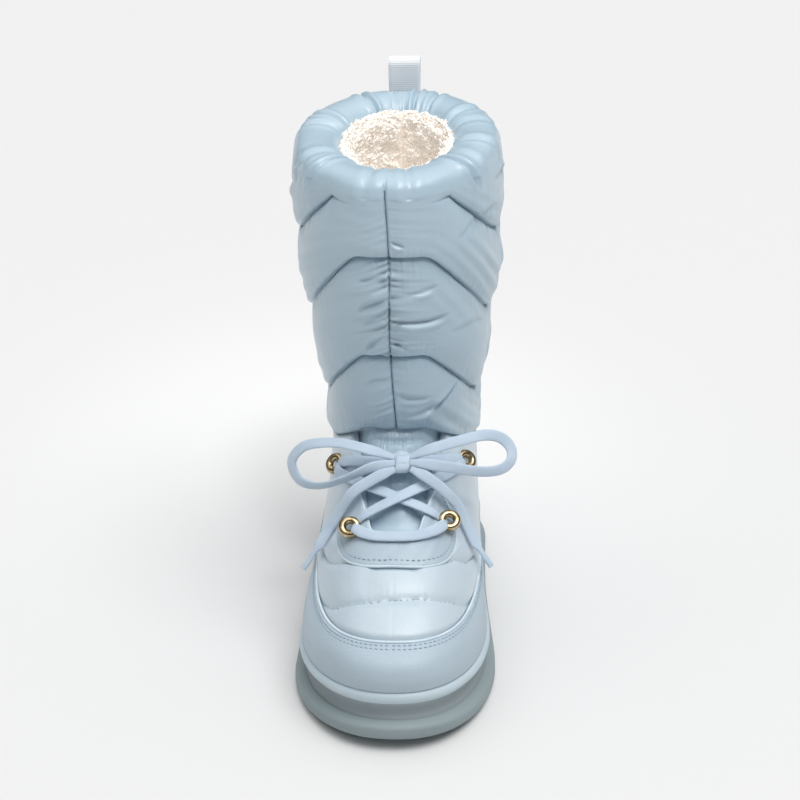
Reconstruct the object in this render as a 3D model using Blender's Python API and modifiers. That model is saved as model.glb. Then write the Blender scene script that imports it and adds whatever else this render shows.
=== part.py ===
"""Apres ski boot, right foot, modelled as the maker's pieces.

Metres, +Z up, toe towards -Y, heel towards +Y, +X on the medial (inner) side.
The origin is on the floor under the middle of the boot.
"""
import math

import bmesh
import bpy
from mathutils import Matrix, Vector

NAME = "apres_ski_boot"

# Fits, and the count of corners round the boot
GAP = 0.0003
OVERLAY_SEAT = 0.0008
AROUND = 44

# Sole
LENGTH = 0.280
SOLE_Y = -0.0035
BALL_WIDTH = 0.116
WAIST_WIDTH = 0.101
HEEL_WIDTH = 0.095
TOE_ROUND = 0.080
HEEL_ROUND = 0.052
TOE_BLUNT = 0.45
HEEL_BLUNT = 0.48
TOE_SWING = 0.0030
SOLE_TOE = 0.0295
SOLE_BALL = 0.030
SOLE_HEEL = 0.036
TOE_SPRING = 0.0078
TOE_SPRING_RUN = 0.082
HEEL_SPRING = 0.002
HEEL_SPRING_RUN = 0.020
ARCH_RISE = 0.003
ARCH_CENTRE = 0.56
ARCH_REACH = 0.11
SOLE_STEP = 0.007
TREAD_SHARE = 0.38
LUG_DEPTH = 0.0035
LUG_PITCH = 0.0150
LUG_GROOVE = 0.0060
TREAD_RIM = 0.0125
TREAD_RIB = 0.0120

# Upper
UPPER_INSET = 0.0072
UPPER_WALL = 0.0030
INSOLE_THICK = 0.0050
INSOLE_CLEAR = 0.0008
INSOLE_EDGE = 0.0015
THROAT_LOW = 0.63
THROAT_ANGLE_LOW = 16.0
THROAT_ANGLE_MIDDLE = 25.0
THROAT_COLUMNS = 5
TONGUE_SEAT = 0.0011
TONGUE_THICK = 0.0026
TONGUE_PUFF = 0.0030
TONGUE_TUCK = 0.07
TONGUE_BESIDE = 2.5
TONGUE_EDGE = 7.0
BAR_DROP = 0.018
OVERLAY_THICK = 0.0015
RAND_THICK = 0.0018

# Shaft
ANKLE_WIDTH = 0.081
ANKLE_DEPTH = 0.120
ANKLE_Y = 0.0575
ANKLE_SIDE = 0.102
BOOT_HEIGHT = 0.290
COLLAR_BACK_RISE = 0.004
COLLAR_WIDTH = 0.113
COLLAR_DEPTH = 0.141
COLLAR_Y = 0.0605
SHAFT_LEAN = -0.0012
SHAFT_BELLY = 0.0040
PUFF = 0.0054
FULL_ROW = 0.030
COLLAR_WALL = 0.0250
SEAM_VALLEY = 82.0

# Trim
LOOP_WIDTH = 0.019
LOOP_THICK = 0.0014
LOOP_TOP = 0.0195
LOOP_FOOT = 0.034
LOOP_SLOT = 0.0065
RING_OUTER = 0.0128
RING_TUBE = 0.0040
LACE_WIDTH = 0.0066
LACE_THICK = 0.0026
LACE_TUBE = 0.0034
LACE_SPACING = 0.0080
KNOT_WIDTH = 0.0080
KNOT_HEIGHT = 0.0100
KNOT_THICK = 0.0065
KNOT_ANGLE = 4.2
KNOT_LEVEL = 0.852


# Half widths of the outline: share of length, width it follows, lateral share, medial share
OUTLINE = (
    (0.00, BALL_WIDTH, 0.478, 0.490),
    (0.18, BALL_WIDTH, 0.497, 0.498),
    (0.31, BALL_WIDTH, 0.502, 0.498),
    (0.43, BALL_WIDTH, 0.490, 0.470),
    (0.57, WAIST_WIDTH, 0.520, 0.497),
    (0.70, WAIST_WIDTH, 0.490, 0.480),
    (0.81, HEEL_WIDTH, 0.502, 0.502),
    (1.00, HEEL_WIDTH, 0.495, 0.495),
)

# Thickness of the whole sole: share of length, thickness
SOLE_HEIGHTS = (
    (0.00, SOLE_TOE),
    (0.25, SOLE_BALL),
    (0.45, SOLE_BALL + 0.25 * (SOLE_HEEL - SOLE_BALL)),
    (0.70, SOLE_HEEL),
    (1.00, SOLE_HEEL),
)

# Side of the tread band: share of sole thickness, inset as a share of the sole step
TREAD_SIDE = (
    (0.00, 0.30),
    (0.05, 0.08),
    (0.16, 0.00),
    (0.27, 0.10),
    (TREAD_SHARE, 0.74),
)

# Side of the midsole, a hollow band below a rounded lip: same columns
MIDSOLE_SIDE = (
    (TREAD_SHARE, 0.84),
    (0.48, 0.98),
    (0.66, 0.92),
    (0.76, 0.60),
    (0.84, 0.42),
    (0.93, 0.50),
    (1.00, 0.86),
)

# Rise of the upper from sole to ankle. Each pair is the share of the way in plan
# and the share of the way up, along the front, the lateral side, the medial side
# and the back.
UPPER_RISE = (
    # level, front in, up, lateral in, up, medial in, up, back in, up
    (0.00, 0.000, 0.000, 0.000, 0.000, 0.000, 0.000, 0.000, 0.000),
    (0.08, -0.004, 0.075, 0.040, 0.110, 0.060, 0.110, -0.060, 0.110),
    (0.17, 0.026, 0.145, 0.190, 0.230, 0.150, 0.230, -0.040, 0.230),
    (0.27, 0.105, 0.205, 0.440, 0.350, 0.270, 0.350, 0.100, 0.360),
    (0.37, 0.235, 0.305, 0.640, 0.480, 0.380, 0.480, 0.380, 0.490),
    (0.50, 0.420, 0.440, 0.780, 0.610, 0.540, 0.610, 0.720, 0.620),
    (THROAT_LOW, 0.600, 0.580, 0.880, 0.740, 0.720, 0.740, 1.000, 0.740),
    (0.76, 0.755, 0.705, 0.910, 0.850, 0.860, 0.850, 1.100, 0.860),
    (0.88, 0.890, 0.850, 0.970, 0.930, 0.950, 0.930, 1.060, 0.940),
    (1.00, 1.000, 1.000, 1.000, 1.000, 1.000, 1.000, 1.000, 1.000),
)

# Height of a quilting seam between its valley and its crown: share of the angle
# from the crown to the valley, share of the height
SEAM_ARCH = (
    (0.00, 1.00),
    (0.14, 1.00),
    (0.26, 0.97),
    (0.38, 0.82),
    (0.50, 0.64),
    (0.64, 0.44),
    (0.82, 0.19),
    (1.00, 0.00),
)

# Quilting seams, from the ankle up, as shares of the way from ankle side to rim:
# name, height at the front, at the sides, at the back
SEAMS = (
    ("ankle", 0.157, 0.000, 0.130),
    ("low", 0.418, 0.165, 0.400),
    ("middle", 0.750, 0.452, 0.730),
    ("high", 0.985, 0.712, 0.900),
    ("rim", 1.000, 1.000, 1.000),
)

# Taper of the shaft: share of its height, share of the way from ankle to collar size
SHAFT_TAPER = (
    (0.00, 0.00),
    (0.17, 0.12),
    (0.45, 0.62),
    (0.71, 0.96),
    (1.00, 1.00),
)

# Rows of the puffer shaft: lift of the fabric at shares of the row's height
PILLOW = (
    (0.00, 0.00),
    (0.10, 0.52),
    (0.32, 0.94),
    (0.68, 0.94),
    (0.90, 0.52),
)

# Roll of the collar above its outer edge: drop below the rim, distance inwards, both
# as shares of the collar's wall
COLLAR_ROLL = (
    (0.02, 0.07),
    (0.00, 0.24),
    (0.00, 0.50),
    (0.06, 0.76),
    (0.22, 0.94),
)

# Inside of the shaft, from the collar down: share of height above the ankle seam,
# wall as a share of the collar's wall
LINING = (
    (0.92, 1.00),
    (0.86, 0.92),
    (0.74, 0.66),
    (0.55, 0.52),
    (0.32, 0.44),
    (0.12, 0.41),
    (0.00, 0.34),
)

# Swell of the tongue through the throat: share of the throat's half angle, swell
TONGUE_SWELL = (
    (0.00, 1.00),
    (0.35, 0.92),
    (0.72, 0.55),
    (1.00, 0.00),
)

# Rows of the rand from the sole up: share of its height, share of its thickness
RAND_ROWS = (
    (0.00, 1.00),
    (0.18, 1.00),
    (0.38, 1.00),
    (0.60, 1.00),
    (0.82, 1.00),
    (1.00, 0.75),
)

# Top edge of the rand: degrees from the toe, level on the upper
RAND_EDGE = (
    (0.0, 0.278),
    (25.0, 0.276),
    (45.0, 0.290),
    (62.0, 0.330),
    (80.0, 0.390),
    (120.0, 0.400),
    (150.0, 0.460),
    (180.0, 0.560),
)

# Eyestay, right half from the throat's foot to the tip of its leg:
# inner degrees, inner level, outer degrees, outer level
EYESTAY_HALF = (
    (0.0, 0.618, 0.0, 0.520),
    (7.0, 0.618, 10.0, 0.515),
    (12.5, 0.620, 20.0, 0.508),
    (15.3, 0.635, 31.0, 0.512),
    (17.0, 0.660, 38.5, 0.540),
    (19.5, 0.690, 40.5, 0.590),
    (22.5, 0.730, 38.0, 0.670),
    (26.0, 0.765, 30.0, 0.765),
)

# Rings for the lace: name, degrees from the toe, level on the upper, and how far off
# the upper they are seated, the lower pair on the eyestay
RINGS = (
    ("eyelet_lower_left", -29.0, 0.625, OVERLAY_SEAT + OVERLAY_THICK),
    ("eyelet_lower_right", 31.5, 0.635, OVERLAY_SEAT + OVERLAY_THICK),
    ("eyelet_upper_left", -53.0, 0.830, 0.0),
    ("eyelet_upper_right", 56.0, 0.850, 0.0),
)

# Section of the flat lace: share of its width, share of its thickness
LACE_SECTION = (
    (0.50, 0.20), (0.36, 0.50), (-0.36, 0.50), (-0.50, 0.20),
    (-0.50, -0.20), (-0.36, -0.50), (0.36, -0.50), (0.50, -0.20),
)

# Laced run between the rings: name, starting ring, ending ring, a place between them
# as degrees and level
CROSSINGS = (
    ("rising_left", "eyelet_lower_right", "eyelet_upper_left", 3.5, 0.745),
    ("rising_right", "eyelet_lower_left", "eyelet_upper_right", 3.5, 0.745),
    ("under_knot", "eyelet_upper_left", "eyelet_upper_right", KNOT_ANGLE, KNOT_LEVEL),
)

# Routes of the bow, chosen by hand, in millimetres from the origin
BOW_ROUTES = {
    "lace_loop_left": (
        (-0.6, -26.9, 123.9), (-12.9, -27.5, 128.6), (-29.8, -22.5, 130.3),
        (-43.3, -17.5, 128.1), (-55.0, -14.5, 123.6), (-61.8, -13.5, 113.5),
        (-58.0, -17.5, 104.3), (-49.8, -21.5, 102.3), (-39.9, -25.5, 105.0),
        (-28.2, -29.5, 111.7), (-16.1, -32.5, 119.2), (-7.0, -31.6, 121.8),
        (-0.1, -30.0, 121.9),
    ),
    "lace_loop_right": (
        (8.8, -26.0, 123.9), (21.1, -26.5, 129.4), (37.8, -22.5, 131.6),
        (54.7, -17.5, 129.8), (64.2, -14.5, 126.0), (66.8, -14.5, 121.3),
        (63.0, -17.5, 117.6), (48.2, -24.5, 119.0), (29.4, -30.5, 122.2),
        (16.0, -30.6, 122.6), (8.9, -29.1, 121.9),
    ),
    "lace_end_left": (
        (0.1, -32.3, 119.2), (-6.0, -34.6, 117.6), (-12.7, -36.0, 114.4),
        (-24.3, -37.5, 106.5), (-31.3, -37.5, 95.6), (-38.9, -38.0, 83.0),
        (-45.0, -41.5, 73.0), (-54.0, -46.5, 60.0),
    ),
    "lace_end_right": (
        (9.2, -31.4, 119.2), (18.0, -34.6, 116.0), (27.8, -35.0, 107.8),
        (36.0, -33.5, 96.8), (41.5, -36.0, 85.5), (45.5, -40.0, 78.0),
        (50.0, -44.0, 72.0), (56.0, -47.5, 64.0),
    ),
}

MATERIALS = {
    "nylon": ((0.640, 0.740, 0.830), 0.35, 0.0),
    "leather": ((0.600, 0.720, 0.800), 0.50, 0.0),
    "sole_rubber": ((0.400, 0.470, 0.500), 0.60, 0.0),
    "midsole_rubber": ((0.380, 0.450, 0.480), 0.55, 0.0),
    "brass": ((0.500, 0.370, 0.190), 0.35, 1.0),
    "lace": ((0.580, 0.680, 0.830), 0.75, 0.0),
    "webbing": ((0.780, 0.820, 0.860), 0.70, 0.0),
    "insole_felt": ((0.720, 0.640, 0.550), 0.90, 0.0),
}


def clear_scene():
    for item in list(bpy.data.objects):
        bpy.data.objects.remove(item, do_unlink=True)


def make_collection(name):
    group = bpy.data.collections.new(name)
    bpy.context.scene.collection.children.link(group)
    return group


def make_material(name):
    colour, roughness, metallic = MATERIALS[name]
    material = bpy.data.materials.new(name)
    material.use_nodes = True
    shader = material.node_tree.nodes["Principled BSDF"]
    shader.inputs["Base Color"].default_value = (*colour, 1.0)
    shader.inputs["Roughness"].default_value = roughness
    shader.inputs["Metallic"].default_value = metallic
    return material


def lerp(a, b, share):
    return a + (b - a) * share


def smooth_step(value):
    value = min(1.0, max(0.0, value))
    return value * value * (3.0 - 2.0 * value)


def look_up(rows, place):
    """Smooth values between the rows of a table whose first column is place."""
    last = len(rows) - 1
    if place <= rows[0][0]:
        return rows[0][1:]
    if place >= rows[last][0]:
        return rows[last][1:]
    k = max(i for i in range(last) if rows[i][0] <= place)
    before = rows[max(k - 1, 0)]
    low = rows[k]
    high = rows[k + 1]
    after = rows[min(k + 2, last)]
    step = high[0] - low[0]
    t = (place - low[0]) / step
    values = []
    for c in range(1, len(low)):
        slope_low = (high[c] - before[c]) / (high[0] - before[0]) * step
        slope_high = (after[c] - low[c]) / (after[0] - low[0]) * step
        values.append(
            (2 * t ** 3 - 3 * t ** 2 + 1) * low[c]
            + (t ** 3 - 2 * t ** 2 + t) * slope_low
            + (3 * t ** 2 - 2 * t ** 3) * high[c]
            + (t ** 3 - t ** 2) * slope_high
        )
    return values


WIDTHS = tuple((row[0], row[1] * row[2], row[1] * row[3]) for row in OUTLINE)


def outline(phi, inset):
    """Plan of the sole at an inset; phi runs from the toe over the medial side."""
    share = (1.0 - math.cos(phi)) / 2.0
    side = 1.0 if math.sin(phi) >= 0.0 else -1.0
    lateral, medial = look_up(WIDTHS, share)
    half = (medial if side > 0.0 else lateral) - inset
    toe_away = share * LENGTH
    heel_away = LENGTH - toe_away
    if toe_away < TOE_ROUND:
        half *= max(0.0, 1.0 - (1.0 - toe_away / TOE_ROUND) ** 2) ** TOE_BLUNT
    if heel_away < HEEL_ROUND:
        half *= max(0.0, 1.0 - (1.0 - heel_away / HEEL_ROUND) ** 2) ** HEEL_BLUNT
    swing = TOE_SWING * max(0.0, 1.0 - toe_away / TOE_ROUND) ** 2
    return side * half + swing, SOLE_Y - math.cos(phi) * (LENGTH / 2.0 - inset)


def toe_share(y):
    """How far along the sole a place lies, 0 at the toe and 1 at the heel."""
    return 0.5 + (y - SOLE_Y) / LENGTH


def toe_spring(y):
    return TOE_SPRING * max(0.0, 1.0 - toe_share(y) * LENGTH / TOE_SPRING_RUN) ** 2


def ground(y):
    """Height of the tread above the floor: toe spring, arch and heel bevel."""
    share = toe_share(y)
    bevel = HEEL_SPRING * max(0.0, 1.0 - (1.0 - share) * LENGTH / HEEL_SPRING_RUN) ** 2
    arch = ARCH_RISE * smooth_step(1.0 - abs(share - ARCH_CENTRE) / ARCH_REACH)
    return toe_spring(y) + bevel + arch


def sole_top(y):
    return toe_spring(y) + look_up(SOLE_HEIGHTS, toe_share(y))[0]


def sole_point(phi, inset, level, lift=0.0):
    x, y = outline(phi, inset)
    return Vector((x, y, lerp(ground(y), sole_top(y), level) + lift))


def angles(count=AROUND):
    return [2.0 * math.pi * i / count for i in range(count)]


def fold(phi):
    """The angle from the toe, 0 to pi, on either side."""
    phi = math.fmod(phi, 2.0 * math.pi)
    if phi < 0.0:
        phi += 2.0 * math.pi
    return phi if phi <= math.pi else 2.0 * math.pi - phi


def seam_height(index, phi):
    """Height of a quilting seam, arched over the front and over the back."""
    name, front, side, back = SEAMS[index]
    valley = math.radians(SEAM_VALLEY)
    turn = fold(phi)
    if turn <= valley:
        share = lerp(side, front, look_up(SEAM_ARCH, turn / valley)[0])
    else:
        away = (math.pi - turn) / (math.pi - valley)
        share = lerp(side, back, look_up(SEAM_ARCH, away)[0])
    rim = BOOT_HEIGHT + COLLAR_BACK_RISE * smooth_step(turn / math.pi)
    return lerp(ANKLE_SIDE, rim, share)


def shaft_axes(z):
    """Centre and half axes of the shaft's seam line at a height."""
    share = (z - ANKLE_SIDE) / (BOOT_HEIGHT - ANKLE_SIDE)
    share = min(1.0, max(0.0, share))
    grow = look_up(SHAFT_TAPER, share)[0]
    half_x = lerp(ANKLE_WIDTH, COLLAR_WIDTH, grow) / 2.0
    half_y = lerp(ANKLE_DEPTH, COLLAR_DEPTH, grow) / 2.0
    centre_y = lerp(ANKLE_Y, COLLAR_Y, share) - SHAFT_BELLY * math.sin(math.pi * share)
    return SHAFT_LEAN * share, centre_y, half_x, half_y


def shaft_point(phi, z, out):
    centre_x, centre_y, half_x, half_y = shaft_axes(z)
    x = centre_x + (half_x + out) * math.sin(phi)
    y = centre_y - (half_y + out) * math.cos(phi)
    return Vector((x, y, z))


def upper_skin(phi, level):
    base = sole_point(phi, UPPER_INSET, 1.0, GAP)
    ankle = shaft_point(phi, seam_height(0, phi), 0.0)
    row = look_up(UPPER_RISE, level)
    front, lateral, medial, back = (row[k:k + 2] for k in (0, 2, 4, 6))
    side = medial if math.sin(phi) >= 0.0 else lateral
    turn = math.cos(phi)
    end = front if turn >= 0.0 else back
    blend = smooth_step(abs(turn))
    inward = lerp(side[0], end[0], blend)
    upward = lerp(side[1], end[1], blend)
    return Vector((
        lerp(base.x, ankle.x, inward),
        lerp(base.y, ankle.y, inward),
        lerp(base.z, ankle.z, upward),
    ))


def upper_normal(phi, level):
    step = 0.012
    low = max(0.0, level - step)
    high = min(1.0, level + step)
    along = upper_skin(phi + step, level) - upper_skin(phi - step, level)
    up = upper_skin(phi, high) - upper_skin(phi, low)
    return along.cross(up).normalized()


def upper_point(phi, level, out=0.0):
    """A point out from the upper's skin, whose two edges stay level on what they meet."""
    skin = upper_skin(phi, level)
    point = skin + upper_normal(phi, level) * out
    if level <= 0.0 or level >= 1.0:
        point.z = skin.z
    return point


def make_object(name, mesh_builder, material, group):
    mesh = bpy.data.meshes.new(name)
    mesh_builder.to_mesh(mesh)
    mesh_builder.free()
    item = bpy.data.objects.new(name, mesh)
    item.data.materials.append(material)
    item.data.shade_smooth()
    item.data.set_sharp_from_angle(angle=math.radians(38.0))
    group.objects.link(item)
    return item


def outward(build):
    bmesh.ops.recalc_face_normals(build, faces=build.faces)
    if build.calc_volume(signed=True) < 0.0:
        bmesh.ops.reverse_faces(build, faces=build.faces)


def ring_solid(rings):
    """A closed solid from closed rings, the last one joined to the first."""
    build = bmesh.new()
    grid = [[build.verts.new(point) for point in ring] for ring in rings]
    rows = len(grid)
    columns = len(grid[0])
    for i in range(rows):
        for j in range(columns):
            build.faces.new((
                grid[i][j],
                grid[i][(j + 1) % columns],
                grid[(i + 1) % rows][(j + 1) % columns],
                grid[(i + 1) % rows][j],
            ))
    outward(build)
    return build


def stacked_solid(rings):
    """A closed solid from stacked rings with an even count of points, whose ends
    are strips between the points that lie opposite each other across the boot."""
    build = bmesh.new()
    grid = [[build.verts.new(point) for point in ring] for ring in rings]
    columns = len(grid[0])
    for low, high in zip(grid, grid[1:]):
        for j in range(columns):
            build.faces.new((low[j], low[(j + 1) % columns], high[(j + 1) % columns], high[j]))
    for ring in (grid[0], grid[-1]):
        for j in range(columns // 2):
            corners = [ring[j], ring[j + 1], ring[(-j - 1) % columns], ring[-j % columns]]
            build.faces.new(list(dict.fromkeys(corners)))
    outward(build)
    return build


def sheet_solid(top, bottom, closed, keep=None):
    """A solid between two grids of points, walled along every open edge."""
    build = bmesh.new()
    rows = len(top)
    columns = len(top[0])
    cells = set()
    for i in range(rows - 1):
        for j in range(columns if closed else columns - 1):
            if keep is None or keep(i, j):
                cells.add((i, j))
    points = {}

    def corner(grid, side, i, j):
        key = (side, i, j % columns)
        if key not in points:
            points[key] = build.verts.new(grid[i][j % columns])
        return points[key]

    def has(i, j):
        return (i, j % columns if closed else j) in cells

    for i, j in sorted(cells):
        square = ((i, j), (i, j + 1), (i + 1, j + 1), (i + 1, j))
        build.faces.new([corner(top, 0, a, b) for a, b in square])
        build.faces.new([corner(bottom, 1, a, b) for a, b in reversed(square)])
        beyond = ((i - 1, j), (i, j + 1), (i + 1, j), (i, j - 1))
        for side, (a, b) in enumerate(beyond):
            if has(a, b):
                continue
            one = square[side]
            two = square[(side + 1) % 4]
            build.faces.new((
                corner(top, 0, *two),
                corner(top, 0, *one),
                corner(bottom, 1, *one),
                corner(bottom, 1, *two),
            ))
    outward(build)
    return build


def make_outsole(group, cutters):
    rings = []
    for level, inset in TREAD_SIDE:
        lift = -GAP if level == TREAD_SHARE else 0.0
        rings.append([sole_point(phi, inset * SOLE_STEP, level, lift) for phi in angles()])
    item = make_object("outsole", stacked_solid(rings), make_material("sole_rubber"), group)
    cutter = make_lug_cutter(cutters)
    cut = item.modifiers.new("lugs", "BOOLEAN")
    cut.operation = "DIFFERENCE"
    cut.solver = "EXACT"
    cut.object = cutter
    return item


def make_lug_cutter(cutters):
    """Pockets between the lugs, each side of a rib and inside the tread's rim."""
    build = bmesh.new()
    count = int((LENGTH - 2.0 * TREAD_RIM) / LUG_PITCH)
    for k in range(count):
        y = SOLE_Y + (k - (count - 1) / 2.0) * LUG_PITCH
        nearest_end = LENGTH / 2.0 - abs(y - SOLE_Y)
        if nearest_end < TREAD_RIM + LUG_PITCH * 0.7:
            continue
        for side in (-1.0, 1.0):
            reach = pocket_reach(y, side)
            inner = TREAD_RIB / 2.0
            if reach - inner < LUG_GROOVE:
                continue
            top = min(ground(y - LUG_GROOVE / 2.0), ground(y + LUG_GROOVE / 2.0)) + LUG_DEPTH
            size = Vector((reach - inner, LUG_GROOVE, top + LUG_DEPTH))
            centre = Vector((side * (reach + inner) / 2.0, y, (top - LUG_DEPTH) / 2.0))
            place = Matrix.Translation(centre) @ Matrix.Diagonal((*size, 1.0))
            bmesh.ops.create_cube(build, size=1.0, matrix=place)
    mesh = bpy.data.meshes.new("lug_cutter")
    build.to_mesh(mesh)
    build.free()
    cutter = bpy.data.objects.new("lug_cutter", mesh)
    cutter.hide_render = True
    cutter.display_type = "WIRE"
    cutters.objects.link(cutter)
    return cutter


def pocket_reach(y, side):
    """How far a pocket reaches from the middle, at the narrower of its two edges."""
    widths = []
    for edge in (y - LUG_GROOVE / 2.0, y + LUG_GROOVE / 2.0):
        phi = math.acos((SOLE_Y - edge) / (LENGTH / 2.0 - TREAD_RIM))
        x, _ = outline(side * phi, TREAD_RIM)
        widths.append(side * x)
    return min(widths)


def make_midsole(group):
    rings = []
    for level, inset in MIDSOLE_SIDE:
        rings.append([sole_point(phi, inset * SOLE_STEP, level) for phi in angles()])
    return make_object("midsole", stacked_solid(rings), make_material("midsole_rubber"), group)


def make_insole(group):
    inset = UPPER_INSET + UPPER_WALL + INSOLE_CLEAR
    rows = ((GAP, 0.0), (INSOLE_THICK - INSOLE_EDGE, 0.0), (INSOLE_THICK, INSOLE_EDGE))
    rings = []
    for lift, edge in rows:
        rings.append([sole_point(phi, inset + edge, 1.0, lift) for phi in angles()])
    return make_object("insole", stacked_solid(rings), make_material("insole_felt"), group)


def throat_angle(level):
    """Half angle of the throat at a level, narrow at its foot and wide at the ankle."""
    share = max(0.0, (level - THROAT_LOW) / (1.0 - THROAT_LOW))
    top = 360.0 * THROAT_COLUMNS / AROUND
    rows = ((0.0, THROAT_ANGLE_LOW), (0.4, THROAT_ANGLE_MIDDLE), (1.0, top))
    return math.radians(look_up(rows, share)[0])


def upper_columns(level):
    """Angles round the upper: even on the sole, gathered to the throat's edges above."""
    edge = throat_angle(max(level, THROAT_LOW))
    rest = AROUND - 2 * THROAT_COLUMNS
    front = [edge * k / THROAT_COLUMNS for k in range(-THROAT_COLUMNS, THROAT_COLUMNS)]
    around = [edge + (2.0 * math.pi - 2.0 * edge) * k / rest for k in range(rest)]
    gather = smooth_step(level / THROAT_LOW)
    even = [2.0 * math.pi * (k - THROAT_COLUMNS) / AROUND for k in range(AROUND)]
    return [lerp(a, b, gather) for a, b in zip(even, front + around)]


def upper_levels():
    """The rows of the rise table, and below the throat the places halfway between."""
    levels = []
    for low, high in zip(UPPER_RISE, UPPER_RISE[1:]):
        levels.append(low[0])
        if high[0] <= THROAT_LOW:
            levels.append((low[0] + high[0]) / 2.0)
    return levels + [1.0]


def make_upper(group):
    levels = upper_levels()
    outer = [[upper_point(phi, level) for phi in upper_columns(level)] for level in levels]
    inner = [
        [upper_point(phi, level, -UPPER_WALL) for phi in upper_columns(level)]
        for level in levels
    ]

    def keep(i, j):
        return levels[i] < THROAT_LOW or j >= 2 * THROAT_COLUMNS

    build = sheet_solid(outer, inner, True, keep)
    return make_object("upper", build, make_material("nylon"), group)


def make_tongue(group):
    """A bellows tongue behind the throat, its middle swelling forward through it."""
    low = THROAT_LOW - TONGUE_TUCK
    start = THROAT_LOW + 0.3 * TONGUE_TUCK
    levels = [low, start] + [lerp(start, 1.0, k / 6.0) for k in range(1, 7)]
    beside = math.radians(TONGUE_BESIDE)
    tuck = math.radians(TONGUE_EDGE)
    seat = -(UPPER_WALL + TONGUE_SEAT)
    front = []
    back = []
    for level in levels:
        edge = throat_angle(max(level, start))
        free = edge - beside
        places = [(free * share, swell) for share, swell in TONGUE_SWELL]
        places += [(edge + beside, 0.0), (edge + tuck, 0.0)]
        places = [(-phi, swell) for phi, swell in reversed(places[1:])] + places
        rise = smooth_step((level - start) / 0.10)
        front.append([
            upper_point(phi, level, seat + TONGUE_PUFF * swell * rise)
            for phi, swell in places
        ])
        back.append([upper_point(phi, level, seat - TONGUE_THICK) for phi, _ in places])
    build = sheet_solid(front, back, False)
    return make_object("tongue", build, make_material("nylon"), group)


def rand_level(phi):
    return look_up(RAND_EDGE, math.degrees(fold(phi)))[0]


def make_rand(group):
    """The leather band round the foot, toe guard and heel counter in one."""
    outer = []
    inner = []
    for share, thick in RAND_ROWS:
        outer.append([
            upper_point(phi, share * rand_level(phi), OVERLAY_SEAT + thick * RAND_THICK)
            for phi in angles()
        ])
        inner.append([
            upper_point(phi, share * rand_level(phi), OVERLAY_SEAT) for phi in angles()
        ])
    build = sheet_solid(outer, inner, True)
    return make_object("rand", build, make_material("leather"), group)


def make_eyestay(group):
    """The U-shaped leather panel that carries the lower rings."""
    left = [(-a, b, -c, d) for a, b, c, d in reversed(EYESTAY_HALF[1:])]
    path = left + list(EYESTAY_HALF)
    outer = []
    inner = []
    for share in (0.0, 0.33, 0.67, 1.0):
        places = []
        for inner_angle, inner_level, outer_angle, outer_level in path:
            phi = math.radians(lerp(inner_angle, outer_angle, share))
            places.append((phi, lerp(inner_level, outer_level, share)))
        outer.append([upper_point(a, b, OVERLAY_SEAT + OVERLAY_THICK) for a, b in places])
        inner.append([upper_point(a, b, OVERLAY_SEAT) for a, b in places])
    build = sheet_solid(outer, inner, False)
    return make_object("eyestay", build, make_material("leather"), group)


def shaft_rings():
    """Outer rings from the ankle up, over the collar and down inside."""
    rings = []
    for row in range(len(SEAMS) - 1):
        for share, lift in PILLOW:
            rings.append([row_point(phi, row, share, lift) for phi in angles()])
    top = len(SEAMS) - 1
    for drop, inward in COLLAR_ROLL:
        rings.append([
            shaft_point(phi, seam_height(top, phi) - drop * COLLAR_WALL, -inward * COLLAR_WALL)
            for phi in angles()
        ])
    for share, wall in LINING:
        rings.append([lining_point(phi, share, wall * COLLAR_WALL) for phi in angles()])
    return rings


def row_point(phi, row, share, lift):
    low = seam_height(row, phi)
    high = seam_height(row + 1, phi)
    z = lerp(low, high, share)
    height = high - low
    full = min(1.0, height / FULL_ROW)
    seat = GAP if row == 0 and share == 0.0 else 0.0
    return shaft_point(phi, z + seat, PUFF * lift * full)


def lining_point(phi, share, wall):
    low = seam_height(0, phi)
    high = seam_height(len(SEAMS) - 1, phi)
    return shaft_point(phi, lerp(low, high, share) + (GAP if share == 0.0 else 0.0), -wall)


def make_shaft(group):
    return make_object("shaft", ring_solid(shaft_rings()), make_material("nylon"), group)


def make_pull_loop(group):
    """A strip of webbing, folded and sewn flat on the back of the collar."""
    top = BOOT_HEIGHT + LOOP_TOP
    foot = BOOT_HEIGHT - LOOP_FOOT
    seat = max(point.y for ring in shaft_rings() for point in ring) + GAP + LOOP_THICK / 2.0
    bend = (LOOP_SLOT + LOOP_THICK) / 2.0
    sewn = LOOP_THICK + GAP
    near = [(seat, lerp(foot, top - bend, k / 5.0)) for k in range(6)]
    over = []
    for k in range(1, 6):
        turn = math.pi * k / 6.0
        over.append((seat + bend * (1.0 - math.cos(turn)), top - bend + bend * math.sin(turn)))
    far = []
    for k in range(6):
        share = k / 5.0
        spread = lerp(2.0 * bend, sewn, smooth_step(share * 1.5))
        far.append((seat + spread, lerp(top - bend, foot, share)))
    path = near + over + far
    centre_x = SHAFT_LEAN
    half = LOOP_WIDTH / 2.0
    rings = []
    count = len(path)
    for k in range(count):
        back_y, back_z = path[(k - 1) % count]
        next_y, next_z = path[(k + 1) % count]
        along = Vector((0.0, next_y - back_y, next_z - back_z)).normalized()
        side = Vector((0.0, -along.z, along.y)) * (LOOP_THICK / 2.0)
        middle = Vector((centre_x, path[k][0], path[k][1]))
        across = Vector((half, 0.0, 0.0))
        rings.append([middle + across + side, middle - across + side,
                      middle - across - side, middle + across - side])
    return make_object("pull_loop", ring_solid(rings), make_material("webbing"), group)


def ring_place(angle, level, seat):
    """Centre and axis of a lace ring that lies on the upper's outside."""
    phi = math.radians(angle)
    lift = seat + GAP + RING_TUBE / 2.0
    return upper_point(phi, level, lift), upper_normal(phi, level)


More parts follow.
